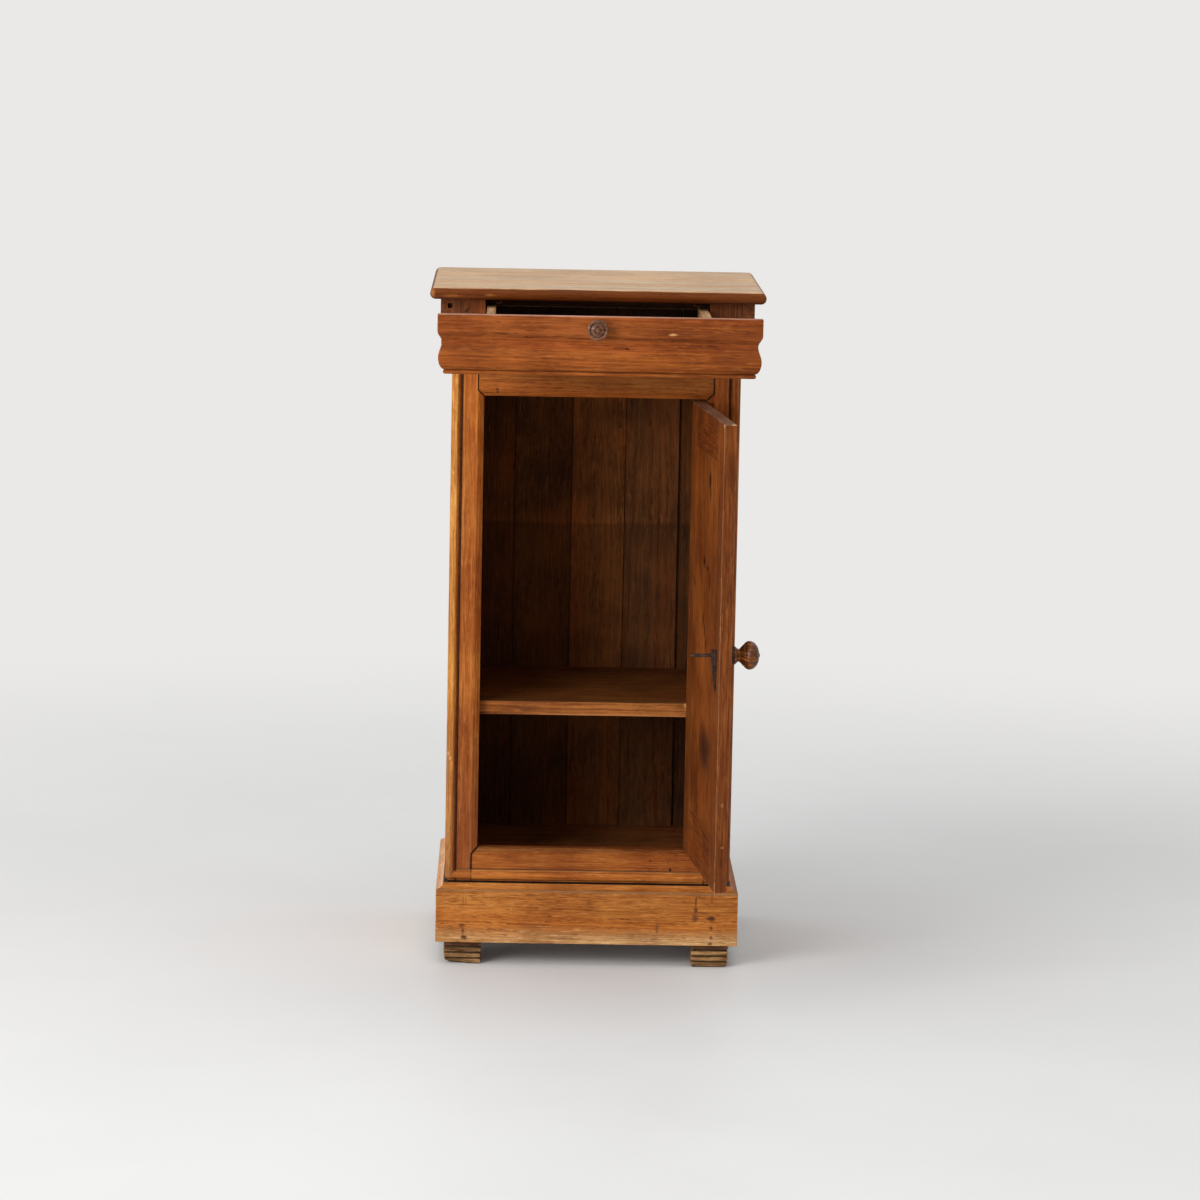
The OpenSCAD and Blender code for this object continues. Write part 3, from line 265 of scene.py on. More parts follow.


# Zones turn the wood's middle colour into another along one axis, from the first place to the second,
# by multiplying, so that the figure stays, and zonesBefore keeps them to the front of that depth.
# Rings are painted shade, dark lines at every step of height, lines are straight marks on a front face,
# from one point to the next, and spots are soft ellipsoids.
def marked(world, colour, look, streaks, patina):
    x, y, z = world.parts()
    for axis, start, full, shade, amount, fuzz in look["zones"]:
        turn = 1 if full > start else -1
        reach = {"x": x, "y": y, "z": z}[axis] + (streaks - 0.5) * fuzz + (patina - 0.5) * fuzz
        ratio = tuple(new / old for new, old in zip(tone(*shade), tone(*look["mid"])))
        share = (reach * turn).rise(start * turn, full * turn) * amount
        if look["zonesBefore"]:
            share = share * (1 - y.rise(look["zonesBefore"], look["zonesBefore"] + 0.001))
        faded = share.mixed((1, 1, 1), ratio)
        colour = colour.vector("MULTIPLY", faded)
    if look["rings"]:
        step, width, shade = look["rings"]
        near = 1 - z.sum("PINGPONG", z, step / 2).rise(0.3 * width, width)
        colour = (near * (patina * 0.8 + 0.45)).mixed(colour, tone(*shade))
    if look["spots"] or look["lines"]:
        ragged = (world.noise(420, 2, 0.6) - 0.5) * 1.1
    for start, end, width, shade, amount in look["lines"]:
        reach = Vector(end) - Vector(start)
        away = world.moved(*[-p for p in start])
        part = away.dot(tuple(reach / reach.length_squared))
        part = part.node("Clamp", {"Value": part})
        away = away.vector("SUBTRACT", part.times(tuple(reach)))
        away = away.scaled(1 / width, 0, 1 / width).length() + ragged * 0.4
        colour = ((1 - away.rise(0.35, 1.25)) * amount).mixed(colour, tone(*shade))
    for place, size, shade, amount in look["spots"]:
        away = world.moved(*[-p for p in place]).scaled(*[1 / s for s in size]).length() + ragged
        colour = ((1 - away.rise(0.35, 1.25)) * amount).mixed(colour, tone(*shade))
    return colour


# Worn arrises are found where a Bevel node's normal leaves the true one, and dirt and painted shade where
# little is in sight
def oakMaterial(name, look):
    material, place = newMaterial(name)
    world, grain = grainSpace(place, look)
    colour, pores, fibre, streaks, patina = oakFigure(world, grain, look)
    colour = marked(world, colour, look, streaks, patina)
    straight = place.node("NewGeometry", {}, output=1)
    eased = place.node("Bevel", {"Radius": look["edgeWidth"]}, {"samples": 4})
    broken = (world.noise(60, 3, 0.7) * 0.7 + patina * 0.6).rise(0.42, 0.72)
    arris = (1 - eased.dot(straight)).rise(0.004, 0.16)
    arris = arris * (broken * look["edgeBreak"] + (1 - look["edgeBreak"]))
    colour = (arris * look["edgeAmount"]).mixed(colour, tone(*look["edge"]))
    # Dirt and painted shade: darker where the Ambient Occlusion node finds little in sight
    sight = place.node("AmbientOcclusion", {"Distance": look["dirtShadeReach"]},
                       {"samples": 6, "only_local": True}, 1)
    grimeShade = (1 - sight).rise(0.18, 0.75) * (world.noise(30, 2) * 0.5 + 0.6)
    colour = (grimeShade * look["dirtShade"]).mixed(colour, tone(*look["grimeShade"]))
    rough = patina * 0.22 + pores * 0.25 + (look["rough"] - 0.11)
    relief = fibre * 0.25 + patina * 0.5 - pores * 0.6
    bumped = place.node("Bump", {"Height": relief, "Strength": look["bump"], "Distance": 0.0006})
    surface(place, {"Base Color": colour, "Roughness": rough, "Normal": bumped,
                    "Specular IOR Level": look["shine"]})
    return material


def ironMaterial(name, look):
    material, place = newMaterial(name)
    blotch = place.noise(180, 4, 0.65)
    fine = place.noise(900, 2)
    colour = blotch.rise(0.35, 0.7).mixed(tone(*look["dark"]), tone(*look["light"]))
    colour = fine.rise(0.6, 0.8).mixed(colour, tone(*look["rust"]))
    relief = place.node("Bump", {"Height": blotch + fine * 0.3, "Strength": 0.5, "Distance": 0.0004})
    rough = blotch * 0.3 + look["rough"]
    surface(place, {"Base Color": colour, "Roughness": rough, "Metallic": look["metal"], "Normal": relief})
    return material


def dress(target, material):
    target.data.materials.clear()
    target.data.materials.append(material)


# Copy of a node with its outward arrises rounded: facets that lie in one plane are joined,
# then every edge that turns outwards by more than the limit is bevelled.
def softened(name, width, limit=0.5):
    piece = bpy.data.objects.new(name + "_worn", nodes[name].data.copy())
    mesh = bmesh.new()
    mesh.from_mesh(piece.data)
    bmesh.ops.remove_doubles(mesh, verts=mesh.verts, dist=1e-5)
    bmesh.ops.dissolve_limit(mesh, angle_limit=radians(0.5), verts=mesh.verts, edges=mesh.edges)
    layers = mesh.edges.layers.float
    weight = layers.get("bevel_weight_edge") or layers.new("bevel_weight_edge")
    for edge in mesh.edges:
        turn = edge.calc_face_angle_signed(0)
        edge[weight] = float(turn > limit)
        edge.smooth = abs(turn) < limit
    for face in mesh.faces:
        face.smooth = True
    mesh.to_mesh(piece.data)
    mesh.free()
    if "custom_normal" in piece.data.attributes:
        piece.data.attributes.remove(piece.data.attributes["custom_normal"])
    bpy.context.collection.objects.link(piece)
    bevel = piece.modifiers.new("rounded arrises", "BEVEL")
    bevel.width = width
    bevel.segments = 2
    bevel.limit_method = "WEIGHT"
    bevel.use_clamp_overlap = False
    bevel.harden_normals = True
    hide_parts(name)
    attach(piece, nodes[name]["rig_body"])
    return piece


def coat(name, look, *targets, soft=0.0, slot=None):
    material = oakMaterial(name, {**oak, **look})
    for target in targets:
        dress(softened(target, soft) if soft else nodes[target], material)


# Front faces that hold marks; the rails are flush with the posts
postFace, plinthFace, drawerFace, shelfFace = (
    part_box(name)[0].y for name in ("front_post_left", "plinth_front", "drawer_front", "shelf"))


# Spots on the plane y = face, which reach that far before and behind it. Each mark gives its place in
# x and z, its half width and half height, its colour and its share.
def onFace(face, reach, *marks):
    return tuple(((x, face, z), (wide, reach, high), shade, amount)
                 for x, z, wide, high, shade, amount in marks)


# Top board
topSpots = (
    ((-0.1912, -0.1600, 0.7930), (0.0036, 0.0060, 0.0052), (196, 134, 80), 0.6),
    ((-0.1690, -0.1640, 0.7905), (0.0120, 0.0060, 0.0022), (160, 96, 44), 0.5),
    ((-0.1250, -0.1640, 0.7920), (0.0070, 0.0060, 0.0016), (166, 104, 50), 0.5),
)
topLook = {"grain": "xy", "seed": 3, "pith": (0.02, 0.09), "spots": topSpots,
           "deep": (156, 122, 92), "mid": (195, 163, 130), "light": (217, 189, 156), "pore": (96, 58, 32),
           "pores": 0.4, "edgeAmount": 0.0, "patina": 0.4, "streaks": 0.75,
           "zones": (("z", 0.7996, 0.7986, (99, 50, 13), 1.0, 0.0008),
                     ("z", 0.7905, 0.7865, (150, 110, 74), 0.8, 0.002))}
coat("top oak", topLook, "top_board_front", "top_board_rear")

# Posts, and the frame round the door opening
postSpots = onFace(
    postFace, 0.01,
    (-0.1516, 0.7715, 0.0020, 0.0024, (18, 8, 4), 0.95),
    (-0.1547, 0.7700, 0.0013, 0.0014, (24, 10, 6), 0.8),
    (-0.1498, 0.7738, 0.0012, 0.0014, (30, 14, 8), 0.7),
    (-0.1655, 0.2505, 0.0016, 0.0030, (214, 160, 104), 0.6),
    (-0.1637, 0.2450, 0.0016, 0.0032, (214, 160, 104), 0.65),
    (-0.1618, 0.2393, 0.0014, 0.0030, (206, 150, 96), 0.55),
)
frameLook = {"deep": (132, 66, 23), "light": (186, 114, 50), "edge": (52, 24, 8), "edgeAmount": 0.75,
             "edgeWidth": 0.0014, "edgeBreak": 0.3, "streaks": 0.85, "streakSize": (16, 400), "bands": 0.34,
             "dashes": 0.55, "dirtShade": 0.55, "dirtShadeReach": 0.005}


def grooveDirtShade(side):  # the groove beside a post's bead is dark with dirt and painted shade along its whole length
    return (side * 0.1553, -0.1337, 0.41), (0.0012, 0.0026, 6.0), (34, 14, 5), 0.95


# Joints of the door opening, with the chamfer round it: the shoulder of a rail, from its far edge to the
# start of the mitre, then the mitre to the opening's corner
opening = {"half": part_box("front_post_right")[0].x, "low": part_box("bottom_rail")[1].z,
           "high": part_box("upper_rail")[0].z, "railTop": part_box("upper_rail")[1].z,
           "beadTop": 0.1137, "chamfer": 0.007, "joint": (18, 7, 2)}


def mitreLines(side, low, high, width):
    chamfer = opening["chamfer"]
    outer = (side * (opening["half"] + chamfer), postFace)
    corner = (side * opening["half"], postFace + chamfer)
    turned = high - (chamfer if high > low else -chamfer)
    return (((*outer, low), (*outer, turned), width, opening["joint"], 1.0),
            ((*outer, turned), (*corner, high), width, opening["joint"], 1.0))


upperEnds = (opening["railTop"], opening["high"])
lowerEnds = (opening["beadTop"], opening["low"])
upperJoints = mitreLines(-1, *upperEnds, 0.0009) + mitreLines(1, *upperEnds, 0.0011)
lowerJoints = mitreLines(-1, *lowerEnds, 0.0013) + mitreLines(1, *lowerEnds, 0.0010)
dust = (126, 96, 68)
sillDust = ((-0.1525, postFace, 0.1128), (0.137, postFace, 0.1128), 0.0010, dust, 0.75)
beadReturn = ((-0.1530, postFace, 0.1060), (-0.130, postFace, 0.1060), 0.0064, (160, 92, 38), 0.95)
cornerTop = ((-0.1635, postFace, 0.718), (-0.1635, postFace, 0.792), 0.0052, (92, 48, 24), 0.8)
hiddenTop = ("z", 0.712, 0.720, (92, 46, 20), 0.9, 0.004)
# Painted shade: the recess below the bead is painted near black
quirkShade = ("z", 0.0991, 0.0986, (10, 4, 1), 1.0, 0.0)
lowEnd = ("z", 0.36, 0.15, (126, 65, 28), 0.95, 0.05)
# Painted highlight on the left post's bead
beadHighlight = ("x", -0.1590, -0.1615, (192, 122, 52), 0.9, 0.001)
# Painted light on the left post's chamfer and the inner face beyond it
chamferLight = ("x", -0.1374, -0.1366, (184, 104, 42), 1.0, 0.0)
coat("post oak left", {**frameLook, "seed": 5, "spots": (*postSpots, grooveDirtShade(-1)),
                       "lines": (cornerTop, beadReturn, sillDust, *upperJoints, *lowerJoints),
                       "zones": (hiddenTop, quirkShade, lowEnd, beadHighlight, chamferLight)},
     "front_post_left", soft=0.0006, slot="case_oak")
# Painted shade on the right post: its bead and its darker middle colour
beadShade = ("x", 0.1575, 0.1600, (138, 72, 28), 0.8, 0.001)
coat("post oak right", {**frameLook, "seed": 8, "mid": (146, 77, 28), "spots": (grooveDirtShade(1),),
                        "lines": (*upperJoints, *lowerJoints),
                        "zones": (hiddenTop, quirkShade, lowEnd, beadShade)},
     "front_post_right", soft=0.0006, slot="case_oak")
coat("rear post oak", {**frameLook, "seed": 9, "mid": (146, 77, 28)}, "rear_post_left", "rear_post_right",
     soft=0.0006, slot="case_oak")

# Rails
railSpots = onFace(
    postFace, 0.01,
    (-0.1146, 0.6810, 0.0026, 0.0022, (78, 40, 20), 0.85),
    (-0.1145, 0.6772, 0.0022, 0.0018, (78, 40, 20), 0.8),
    (0.0737, 0.1262, 0.0018, 0.0016, (84, 42, 20), 0.8),
    (0.0950, 0.1245, 0.0016, 0.0016, (84, 42, 20), 0.8),
    (0.0742, 0.1143, 0.0030, 0.0016, (96, 50, 24), 0.6),
    (0.0975, 0.1157, 0.0022, 0.0022, (14, 6, 3), 1.0),
)
railLook = {**frameLook, "grain": "x", "edge": (30, 13, 4), "edgeAmount": 1.0, "edgeWidth": 0.0018,
            "edgeBreak": 0.0}
upperRailLook = {**railLook, "seed": 11, "deep": (116, 56, 18), "mid": (148, 80, 28),
                 "light": (170, 100, 42), "spots": railSpots[:2], "lines": upperJoints}
coat("upper rail oak", upperRailLook, "upper_rail", soft=0.0006, slot="case_oak")
bottomRailLook = {**railLook, "seed": 12, "deep": (110, 53, 17), "mid": (134, 71, 25),
                  "light": (162, 96, 40), "spots": railSpots[2:], "lines": (sillDust, *lowerJoints),
                  "zones": (quirkShade, ("z", 0.1335, 0.1355, (112, 62, 26), 0.9, 0.002),
                            ("z", 0.1128, 0.1116, (158, 91, 37), 0.9, 0.0))}
coat("bottom rail oak", bottomRailLook, "bottom_rail", soft=0.0006, slot="case_oak")

# Rails behind, side panels and frieze
coat("rear rail oak", {"grain": "x", "seed": 13, "zones": (("z", 0.60, 0.61, (60, 30, 12), 1.0, 0.0),)},
     "rear_top_rail", "rear_bottom_rail")
coat("side oak", {**frameLook, "grain": "zy", "seed": 15, "pith": (0.0, 0.12), "zones": (quirkShade,)},
     "side_panel_left", "side_panel_right", soft=0.0006, slot="case_oak")
friezeLook = {"grain": "y", "seed": 17, "deep": (112, 52, 18), "mid": (140, 74, 28), "light": (166, 96, 40),
              "edgeAmount": 0.15, "zones": (("y", -0.1362, -0.1368, (98, 50, 24), 0.95, 0.0),)}
coat("frieze oak", friezeLook, "frieze_left", "frieze_right")

# Drawer front
drawerSpots = onFace(
    drawerFace, 0.02,
    (0.0302, 0.7478, 0.0034, 0.0016, (34, 14, 6), 0.95),
    (0.0215, 0.7482, 0.0110, 0.0018, (92, 42, 16), 0.65),
    (0.1245, 0.7522, 0.0080, 0.0014, (78, 34, 12), 0.8),
    (0.1115, 0.7520, 0.0036, 0.0014, (86, 40, 16), 0.7),
    (0.0811, 0.7647, 0.0055, 0.0016, (206, 150, 94), 0.85),
    (0.0460, 0.7590, 0.0260, 0.0009, (92, 42, 16), 0.7),
    (0.1000, 0.7650, 0.0140, 0.0008, (96, 46, 18), 0.6),
)
drawerLook = {"grain": "x", "seed": 20, "deep": (105, 50, 15), "mid": (130, 68, 21), "light": (156, 88, 35),
              "streaks": 0.8, "streakSize": (18, 380), "bands": 0.34, "dashes": 0.6, "dirtShade": 0.35,
              "pith": (0.06, 0.05), "spots": drawerSpots, "edge": (196, 138, 94), "edgeWidth": 0.0014,
              "zones": (("z", 0.742, 0.752, (128, 62, 19), 1.0, 0.004),
                        ("z", 0.7827, 0.7833, (172, 126, 94), 0.8, 0.0004))}
coat("drawer front oak", drawerLook, "drawer_front", soft=0.0008, slot="drawer_front_oak")

# Plinth
plinthSpots = onFace(
    plinthFace, 0.01,
    (-0.1455, 0.0770, 0.0012, 0.0080, (112, 70, 34), 0.6),
    (-0.1425, 0.0775, 0.0010, 0.0070, (118, 74, 36), 0.5),
    (-0.1470, 0.0475, 0.0040, 0.0034, (84, 40, 18), 0.7),
    (-0.1455, 0.0412, 0.0022, 0.0042, (84, 42, 20), 0.7),
    (-0.1440, 0.0335, 0.0042, 0.0030, (64, 30, 14), 0.9),
    (0.1286, 0.0790, 0.0013, 0.0085, (92, 46, 18), 0.85),
    (0.1283, 0.0700, 0.0030, 0.0036, (88, 44, 18), 0.85),
    (0.1278, 0.0600, 0.0042, 0.0048, (92, 54, 36), 0.8),
    (0.1467, 0.0600, 0.0058, 0.0034, (62, 32, 18), 0.9),
    (0.1470, 0.0489, 0.0026, 0.0026, (88, 42, 18), 0.85),
    (0.1472, 0.0369, 0.0026, 0.0026, (104, 54, 28), 0.8),
    (0.1462, 0.0298, 0.0034, 0.0022, (84, 44, 22), 0.85),
    (0.0832, 0.0475, 0.0024, 0.0080, (98, 60, 34), 0.65),
    (0.1475, 0.0850, 0.0016, 0.0080, (110, 60, 26), 0.5),
)
coveDust = (
    ((-0.178, plinthFace, 0.0892), (-0.060, plinthFace, 0.0898), 0.0013, dust, 0.55),
    ((-0.060, plinthFace, 0.0898), (0.178, plinthFace, 0.0890), 0.0015, dust, 0.65),
)
# The plinth's top above 0.097 m, in the recess under the bead, is painted dark as shade
plinthLook = {"grain": "x", "seed": 22, "bands": 0.34, "streaks": 0.75, "streakSize": (22, 380),
              "pores": 0.7, "dashes": 0.95, "dashSize": (80, 680), "flecks": 0.4,
              "deep": (132, 72, 26), "mid": (160, 94, 38), "light": (186, 120, 56), "pore": (92, 44, 15),
              "edge": (206, 162, 108), "edgeWidth": 0.0014, "spots": plinthSpots, "lines": coveDust,
              "zones": (("z", 0.050, 0.030, (180, 136, 88), 0.95, 0.018),
                        ("z", 0.0970, 0.0974, (50, 26, 10), 0.9, 0.0))}
coat("plinth oak", plinthLook, "plinth_front", soft=0.0008, slot="case_oak")
sidePlinth = {**plinthLook, "grain": "y", "spots": (), "lines": ()}
# Its top in the recess under the bead is painted dark as shade too
paleSide = {**sidePlinth, "seed": 24, "pores": 0.2, "dashes": 0.2, "flecks": 0.1,
            "deep": (186, 138, 98), "mid": (204, 160, 120), "light": (218, 182, 144), "pore": (96, 66, 42),
            "zones": (("z", 0.0970, 0.0974, (60, 34, 14), 0.9, 0.0),)}
coat("plinth side oak", paleSide, "plinth_left", soft=0.0008, slot="case_oak")
coat("plinth right oak", {**sidePlinth, "seed": 25}, "plinth_right", soft=0.0008, slot="case_oak")

# Back boards
backLook = {"grain": "z", "zonesBefore": 0.157, "rough": 0.75, "edge": (10, 4, 1), "edgeAmount": 1.0,
            "edgeWidth": 0.0013, "edgeBreak": 0.0, "streaks": 0.6, "streakSize": (16, 380), "bands": 0.22,
            "pore": (30, 14, 5)}
backShades = ((98, 56, 20), (102, 59, 23), (135, 80, 37), (118, 71, 36), (96, 56, 26))


def shaded(colour, share):
    return tuple(share * c for c in colour)


for index, shade in enumerate(backShades, 1):
    # The boards are darker below 0.49 m
    darkerBelow = ("z", 0.493, 0.487, shaded(shade, 0.8), 1.0, 0.006)
    # Painted shadow on the boards' inner face in the drawer's space, from 0.64 m up
    drawerSpaceShadow = ("z", 0.64, 0.69, shaded(shade, 0.4), 1.0, 0.0)
    coat("back board %d" % index, {**backLook, "seed": 30 + index, "deep": shaded(shade, 0.7), "mid": shade,
                                   "light": shaded(shade, 1.25), "zones": (darkerBelow, drawerSpaceShadow)},
         "back_board_%d" % index)

# Shelf, floor, cleats and what the drawer runs on
innerLook = {"grain": "x", "deep": (84, 46, 20), "mid": (122, 70, 34), "light": (150, 96, 52),
             "rough": 0.65, "edgeAmount": 0.3}
shelfLook = {**innerLook, "seed": 40, "mid": (94, 54, 20), "deep": (68, 37, 12), "light": (120, 74, 32),
             "zones": (("y", -0.1148, -0.1158, (130, 73, 30), 1.0, 0.0),),
             "spots": onFace(shelfFace, 0.01, (0.1135, 0.3100, 0.004, 0.0050, (196, 140, 84), 0.7),
                             (0.0300, 0.2960, 0.12, 0.0016, (178, 120, 70), 0.5))}
coat("shelf oak", shelfLook, "shelf", soft=0.0007, slot="inner_wood")
floorSpots = (((0.034, 0.134, 0.113), (0.006, 0.004, 0.01), (150, 120, 90), 0.7),)
coat("floor oak", {**innerLook, "seed": 42, "spots": floorSpots}, "cupboard_floor")
cleatLook = {"grain": "y", "seed": 44, "deep": (96, 66, 40), "mid": (132, 98, 62), "light": (156, 122, 84),
             "rough": 0.7}
coat("cleat wood", cleatLook, "floor_cleats", "shelf_cleat_left", "shelf_cleat_right", "corner_blocks")
runnerLook = {**cleatLook, "seed": 47, "deep": (44, 24, 12), "mid": (72, 42, 22), "light": (100, 62, 34)}
coat("runner wood", runnerLook, "drawer_runner_left", "drawer_runner_right", "drawer_guide_left",
     "drawer_guide_right")
# The kickers are painted near black as shade
coat("kicker wood", {**runnerLook, "deep": (28, 14, 6), "mid": (46, 25, 12), "light": (66, 40, 22)},
     "drawer_kicker_left", "drawer_kicker_right")

# Drawer box
boxLook = {"grain": "y", "seed": 50, "deep": (126, 88, 58), "mid": (162, 122, 84), "light": (192, 152, 112),
           "rough": 0.65}
coat("drawer side wood", boxLook, "drawer_side_left", "drawer_side_right", soft=0.0005,
     slot="drawer_box_wood")
coat("drawer bottom wood", {**boxLook, "seed": 51}, "drawer_bottom")
coat("drawer back wood", {**boxLook, "seed": 52, "grain": "x"}, "drawer_back", soft=0.0005,
     slot="drawer_box_wood")

# Door, in its own frame: x runs from the hinge axis to minus the door's width, y from front to back
freeEdge = -0.257
doorInside = 0.019
doorLook = {"door": True, "deep": (80, 35, 9), "mid": (111, 55, 16), "light": (138, 77, 28),
            "edge": (214, 170, 124), "edgeAmount": 0.55, "edgeWidth": 0.0016, "dashes": 0.65,
            "streakSize": (20, 480), "bands": 0.34}
lowEdge = ("z", 0.62, 0.50, (104, 52, 17), 0.9, 0.02)
wornTop = ("z", 0.6699, 0.6704, (116, 80, 58), 0.9, 0.0)
edgeSpots = (
    ((freeEdge, 0.0183, 0.6685), (0.0050, 0.0018, 0.0034), (232, 208, 178), 0.9),
    ((freeEdge, 0.0060, 0.6703), (0.0050, 0.0030, 0.0012), (206, 170, 136), 0.6),
    ((freeEdge, 0.0184, 0.6450), (0.0040, 0.0014, 0.0240), (200, 148, 100), 0.7),
    ((freeEdge, 0.0180, 0.4380), (0.0040, 0.0014, 0.0120), (200, 148, 100), 0.7),
    ((freeEdge, 0.0180, 0.1480), (0.0040, 0.0012, 0.0090), (232, 204, 170), 0.85),
    ((freeEdge, 0.0090, 0.1930), (0.0040, 0.0022, 0.0014), (176, 122, 78), 0.45),
    ((freeEdge, 0.0100, 0.2410), (0.0040, 0.0016, 0.0030), (176, 122, 78), 0.45),
)
coat("door stile oak", {**doorLook, "seed": 60, "spots": edgeSpots, "zones": (lowEdge, wornTop),
                        "patina": 0.6, "flecks": 0.35}, "door_stile_hinge", "door_stile_latch",
     soft=0.0007, slot="door_oak")
coat("door rail oak", {**doorLook, "seed": 62, "grain": "x", "deep": (76, 32, 8), "mid": (102, 48, 13),
                       "light": (126, 66, 24), "edgeAmount": 0.15, "zones": (wornTop,)}, "door_rail_top",
     "door_rail_bottom", soft=0.0005, slot="door_oak")
panelSpots = onFace(
    doorInside, 0.006,
    (-0.1560, 0.5960, 0.0100, 0.0120, (36, 14, 5), 1.0),
    (-0.1600, 0.5790, 0.0050, 0.0120, (44, 18, 6), 0.9),
    (-0.1244, 0.5000, 0.0120, 0.0080, (36, 14, 5), 1.0),
    (-0.1500, 0.4950, 0.0120, 0.0032, (44, 18, 6), 0.9),
    (-0.1660, 0.4820, 0.0050, 0.0130, (44, 18, 6), 0.95),
    (-0.0480, 0.4653, 0.0090, 0.0060, (50, 22, 8), 0.9),
    (-0.1250, 0.4330, 0.0060, 0.0100, (40, 16, 6), 0.95),
    (-0.1360, 0.4220, 0.0060, 0.0100, (40, 16, 6), 0.95),
    (-0.1480, 0.4090, 0.0056, 0.0100, (48, 20, 8), 0.85),
    (-0.0300, 0.3461, 0.0090, 0.0060, (56, 24, 10), 0.85),
    (-0.1550, 0.2870, 0.0450, 0.0300, (46, 24, 16), 0.85),
    (-0.1460, 0.1990, 0.0090, 0.0060, (50, 24, 10), 0.85),
)
coat("door panel oak", {**doorLook, "seed": 64, "edgeAmount": 0.0, "spots": panelSpots}, "door_panel")

sharpTurn = 0.7  # radians between two faces, from which their edge stays sharp
roundSteps = 96  # steps round a turned piece


# Shell from a grid of points, rows by columns, closed round the columns; rows that shrink to a point
# become poles, and the finished shell has its normals turned outwards.
def gridPiece(name, node, points, material):
    rows, count = points.shape[:2]
    low = np.arange((rows - 1) * count).reshape(rows - 1, count)
    beside = np.roll(low, -1, 1)
    quads = np.stack([low, beside, beside + count, low + count], -1).reshape(-1, 4)
    data = bpy.data.meshes.new(name)
    data.from_pydata(points.reshape(-1, 3).tolist(), [], quads.tolist())
    mesh = bmesh.new()
    mesh.from_mesh(data)
    bmesh.ops.remove_doubles(mesh, verts=mesh.verts, dist=1e-6)
    bmesh.ops.recalc_face_normals(mesh, faces=mesh.faces)
    for face in mesh.faces:
        face.smooth = True
    for edge in mesh.edges:
        edge.smooth = abs(edge.calc_face_angle_signed(0)) < sharpTurn
    mesh.to_mesh(data)
    mesh.free()
    piece = bpy.data.objects.new(name, data)
    bpy.context.collection.objects.link(piece)
    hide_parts(node)
    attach(piece, nodes[node]["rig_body"])
    dress(piece, material)


# Turned piece: point = seat + distance * axis + radius * (cos(turn) * side + sin(turn) * up),
# for every pair of radius and distance in the outline and every turn round the axis.
def turnedPiece(name, node, outline, seat, axis, material):
    axis = Vector(axis).normalized()
    side = axis.orthogonal().normalized()
    up = axis.cross(side)
    turns = np.linspace(0, 2 * pi, roundSteps + 1)[:-1]
    radius, distance = np.array(outline).T
    ring = np.outer(np.cos(turns), side) + np.outer(np.sin(turns), up)
    points = np.array(seat) + distance[:, None, None] * np.array(axis) + radius[:, None, None] * ring
    gridPiece(name, node, points, material)


# Reeded block foot. With t the place within a reed, 0 to 1, the half width at height z is
#   half = width / 2 - reedDeep |2 t - 1|^3 - waver(turn, z) - wear where the foot meets the floor
# carried round a square with eased corners, (|cos|^n + |sin|^n)^(1/n), and closed above and below.
# Painted shade on the feet: dark rings in the grooves between the reeds, and the top reed darker under the
# plinth
footLook = {"grain": "x", "seed": 26, "deep": (78, 52, 32), "mid": (130, 96, 62), "light": (176, 138, 92),
            "edge": (190, 156, 112), "edgeAmount": 0.6, "grimeShade": (20, 10, 5), "dirtShade": 1.0,
            "dirtShadeReach": 0.005, "rough": 0.7, "streaks": 1.0, "streakSize": (30, 270),
            "rings": (0.00675, 0.0016, (26, 13, 8)),
            "zones": (("z", 0.0195, 0.0210, (78, 48, 36), 0.9, 0.001),)}
footShape = {"width": 0.044, "height": 0.027, "reeds": 4, "reedDeep": 0.0024, "waver": 0.00025,
             "wear": 0.0085, "wearHigh": 0.0056, "wearTurn": 3.9, "corner": 40, "sideSteps": 32,
             "reedSteps": 14}
footRows = {"front": -0.119, "rear": 0.137}
footColumns = {"left": (-0.146, 0.0, 1.0), "right": (0.146, 2.628, 0.25)}  # place, seed, share of wear


def footPoints(centre, look, seed, worn):
    steps = look["sideSteps"]
    side = np.concatenate([np.linspace(-pi / 4, pi / 4, steps + 1)[1:]] * 4)
    turns = side + np.repeat(np.arange(4), steps) * pi / 2
    levels = np.linspace(0, 1, look["reeds"] * look["reedSteps"] + 1)
    power = look["corner"]
    square = (np.abs(np.cos(turns)) ** power + np.abs(np.sin(turns)) ** power) ** (1 / power)
    t = (levels * look["reeds"]) % 1
    half = look["width"] / 2 - look["reedDeep"] * np.abs(2 * t - 1) ** 3
    waver = look["waver"] * (np.sin(3 * turns + seed)[None] + np.sin(7 * turns - 2 * seed)[None]
                             * np.cos(9 * levels + seed)[:, None])
    low = np.clip(1 - levels * look["height"] / look["wearHigh"], 0, 1)[:, None]
    worst = (0.5 + 0.5 * np.sin(turns + look["wearTurn"] + 1.7 * seed))[None] ** 4
    wear = look["wear"] * worn * low * worst
    reach = np.clip(half[:, None] - np.abs(waver) - wear, 0.001, None) / square
    flat = np.stack([reach * np.cos(turns), reach * np.sin(turns)], -1)
    rows = [np.zeros_like(flat[0]), *flat, np.zeros_like(flat[0])]
    heights = np.concatenate([[0], levels * look["height"], [look["height"]]])
    points = np.empty((len(rows), len(turns), 3))
    points[..., :2] = np.stack(rows) + np.array(centre)
    points[..., 2] = heights[:, None]
    return points


footOak = oakMaterial("foot oak", {**oak, **footLook})
for row, (end, centreY) in enumerate(footRows.items()):
    for hand, (centreX, seed, worn) in footColumns.items():
        points = footPoints((centreX, centreY), footShape, seed + 1.3 * row, worn)
        gridPiece("reeded_foot_%s_%s" % (end, hand), "foot_%s_%s" % (end, hand), points,
                  footOak)

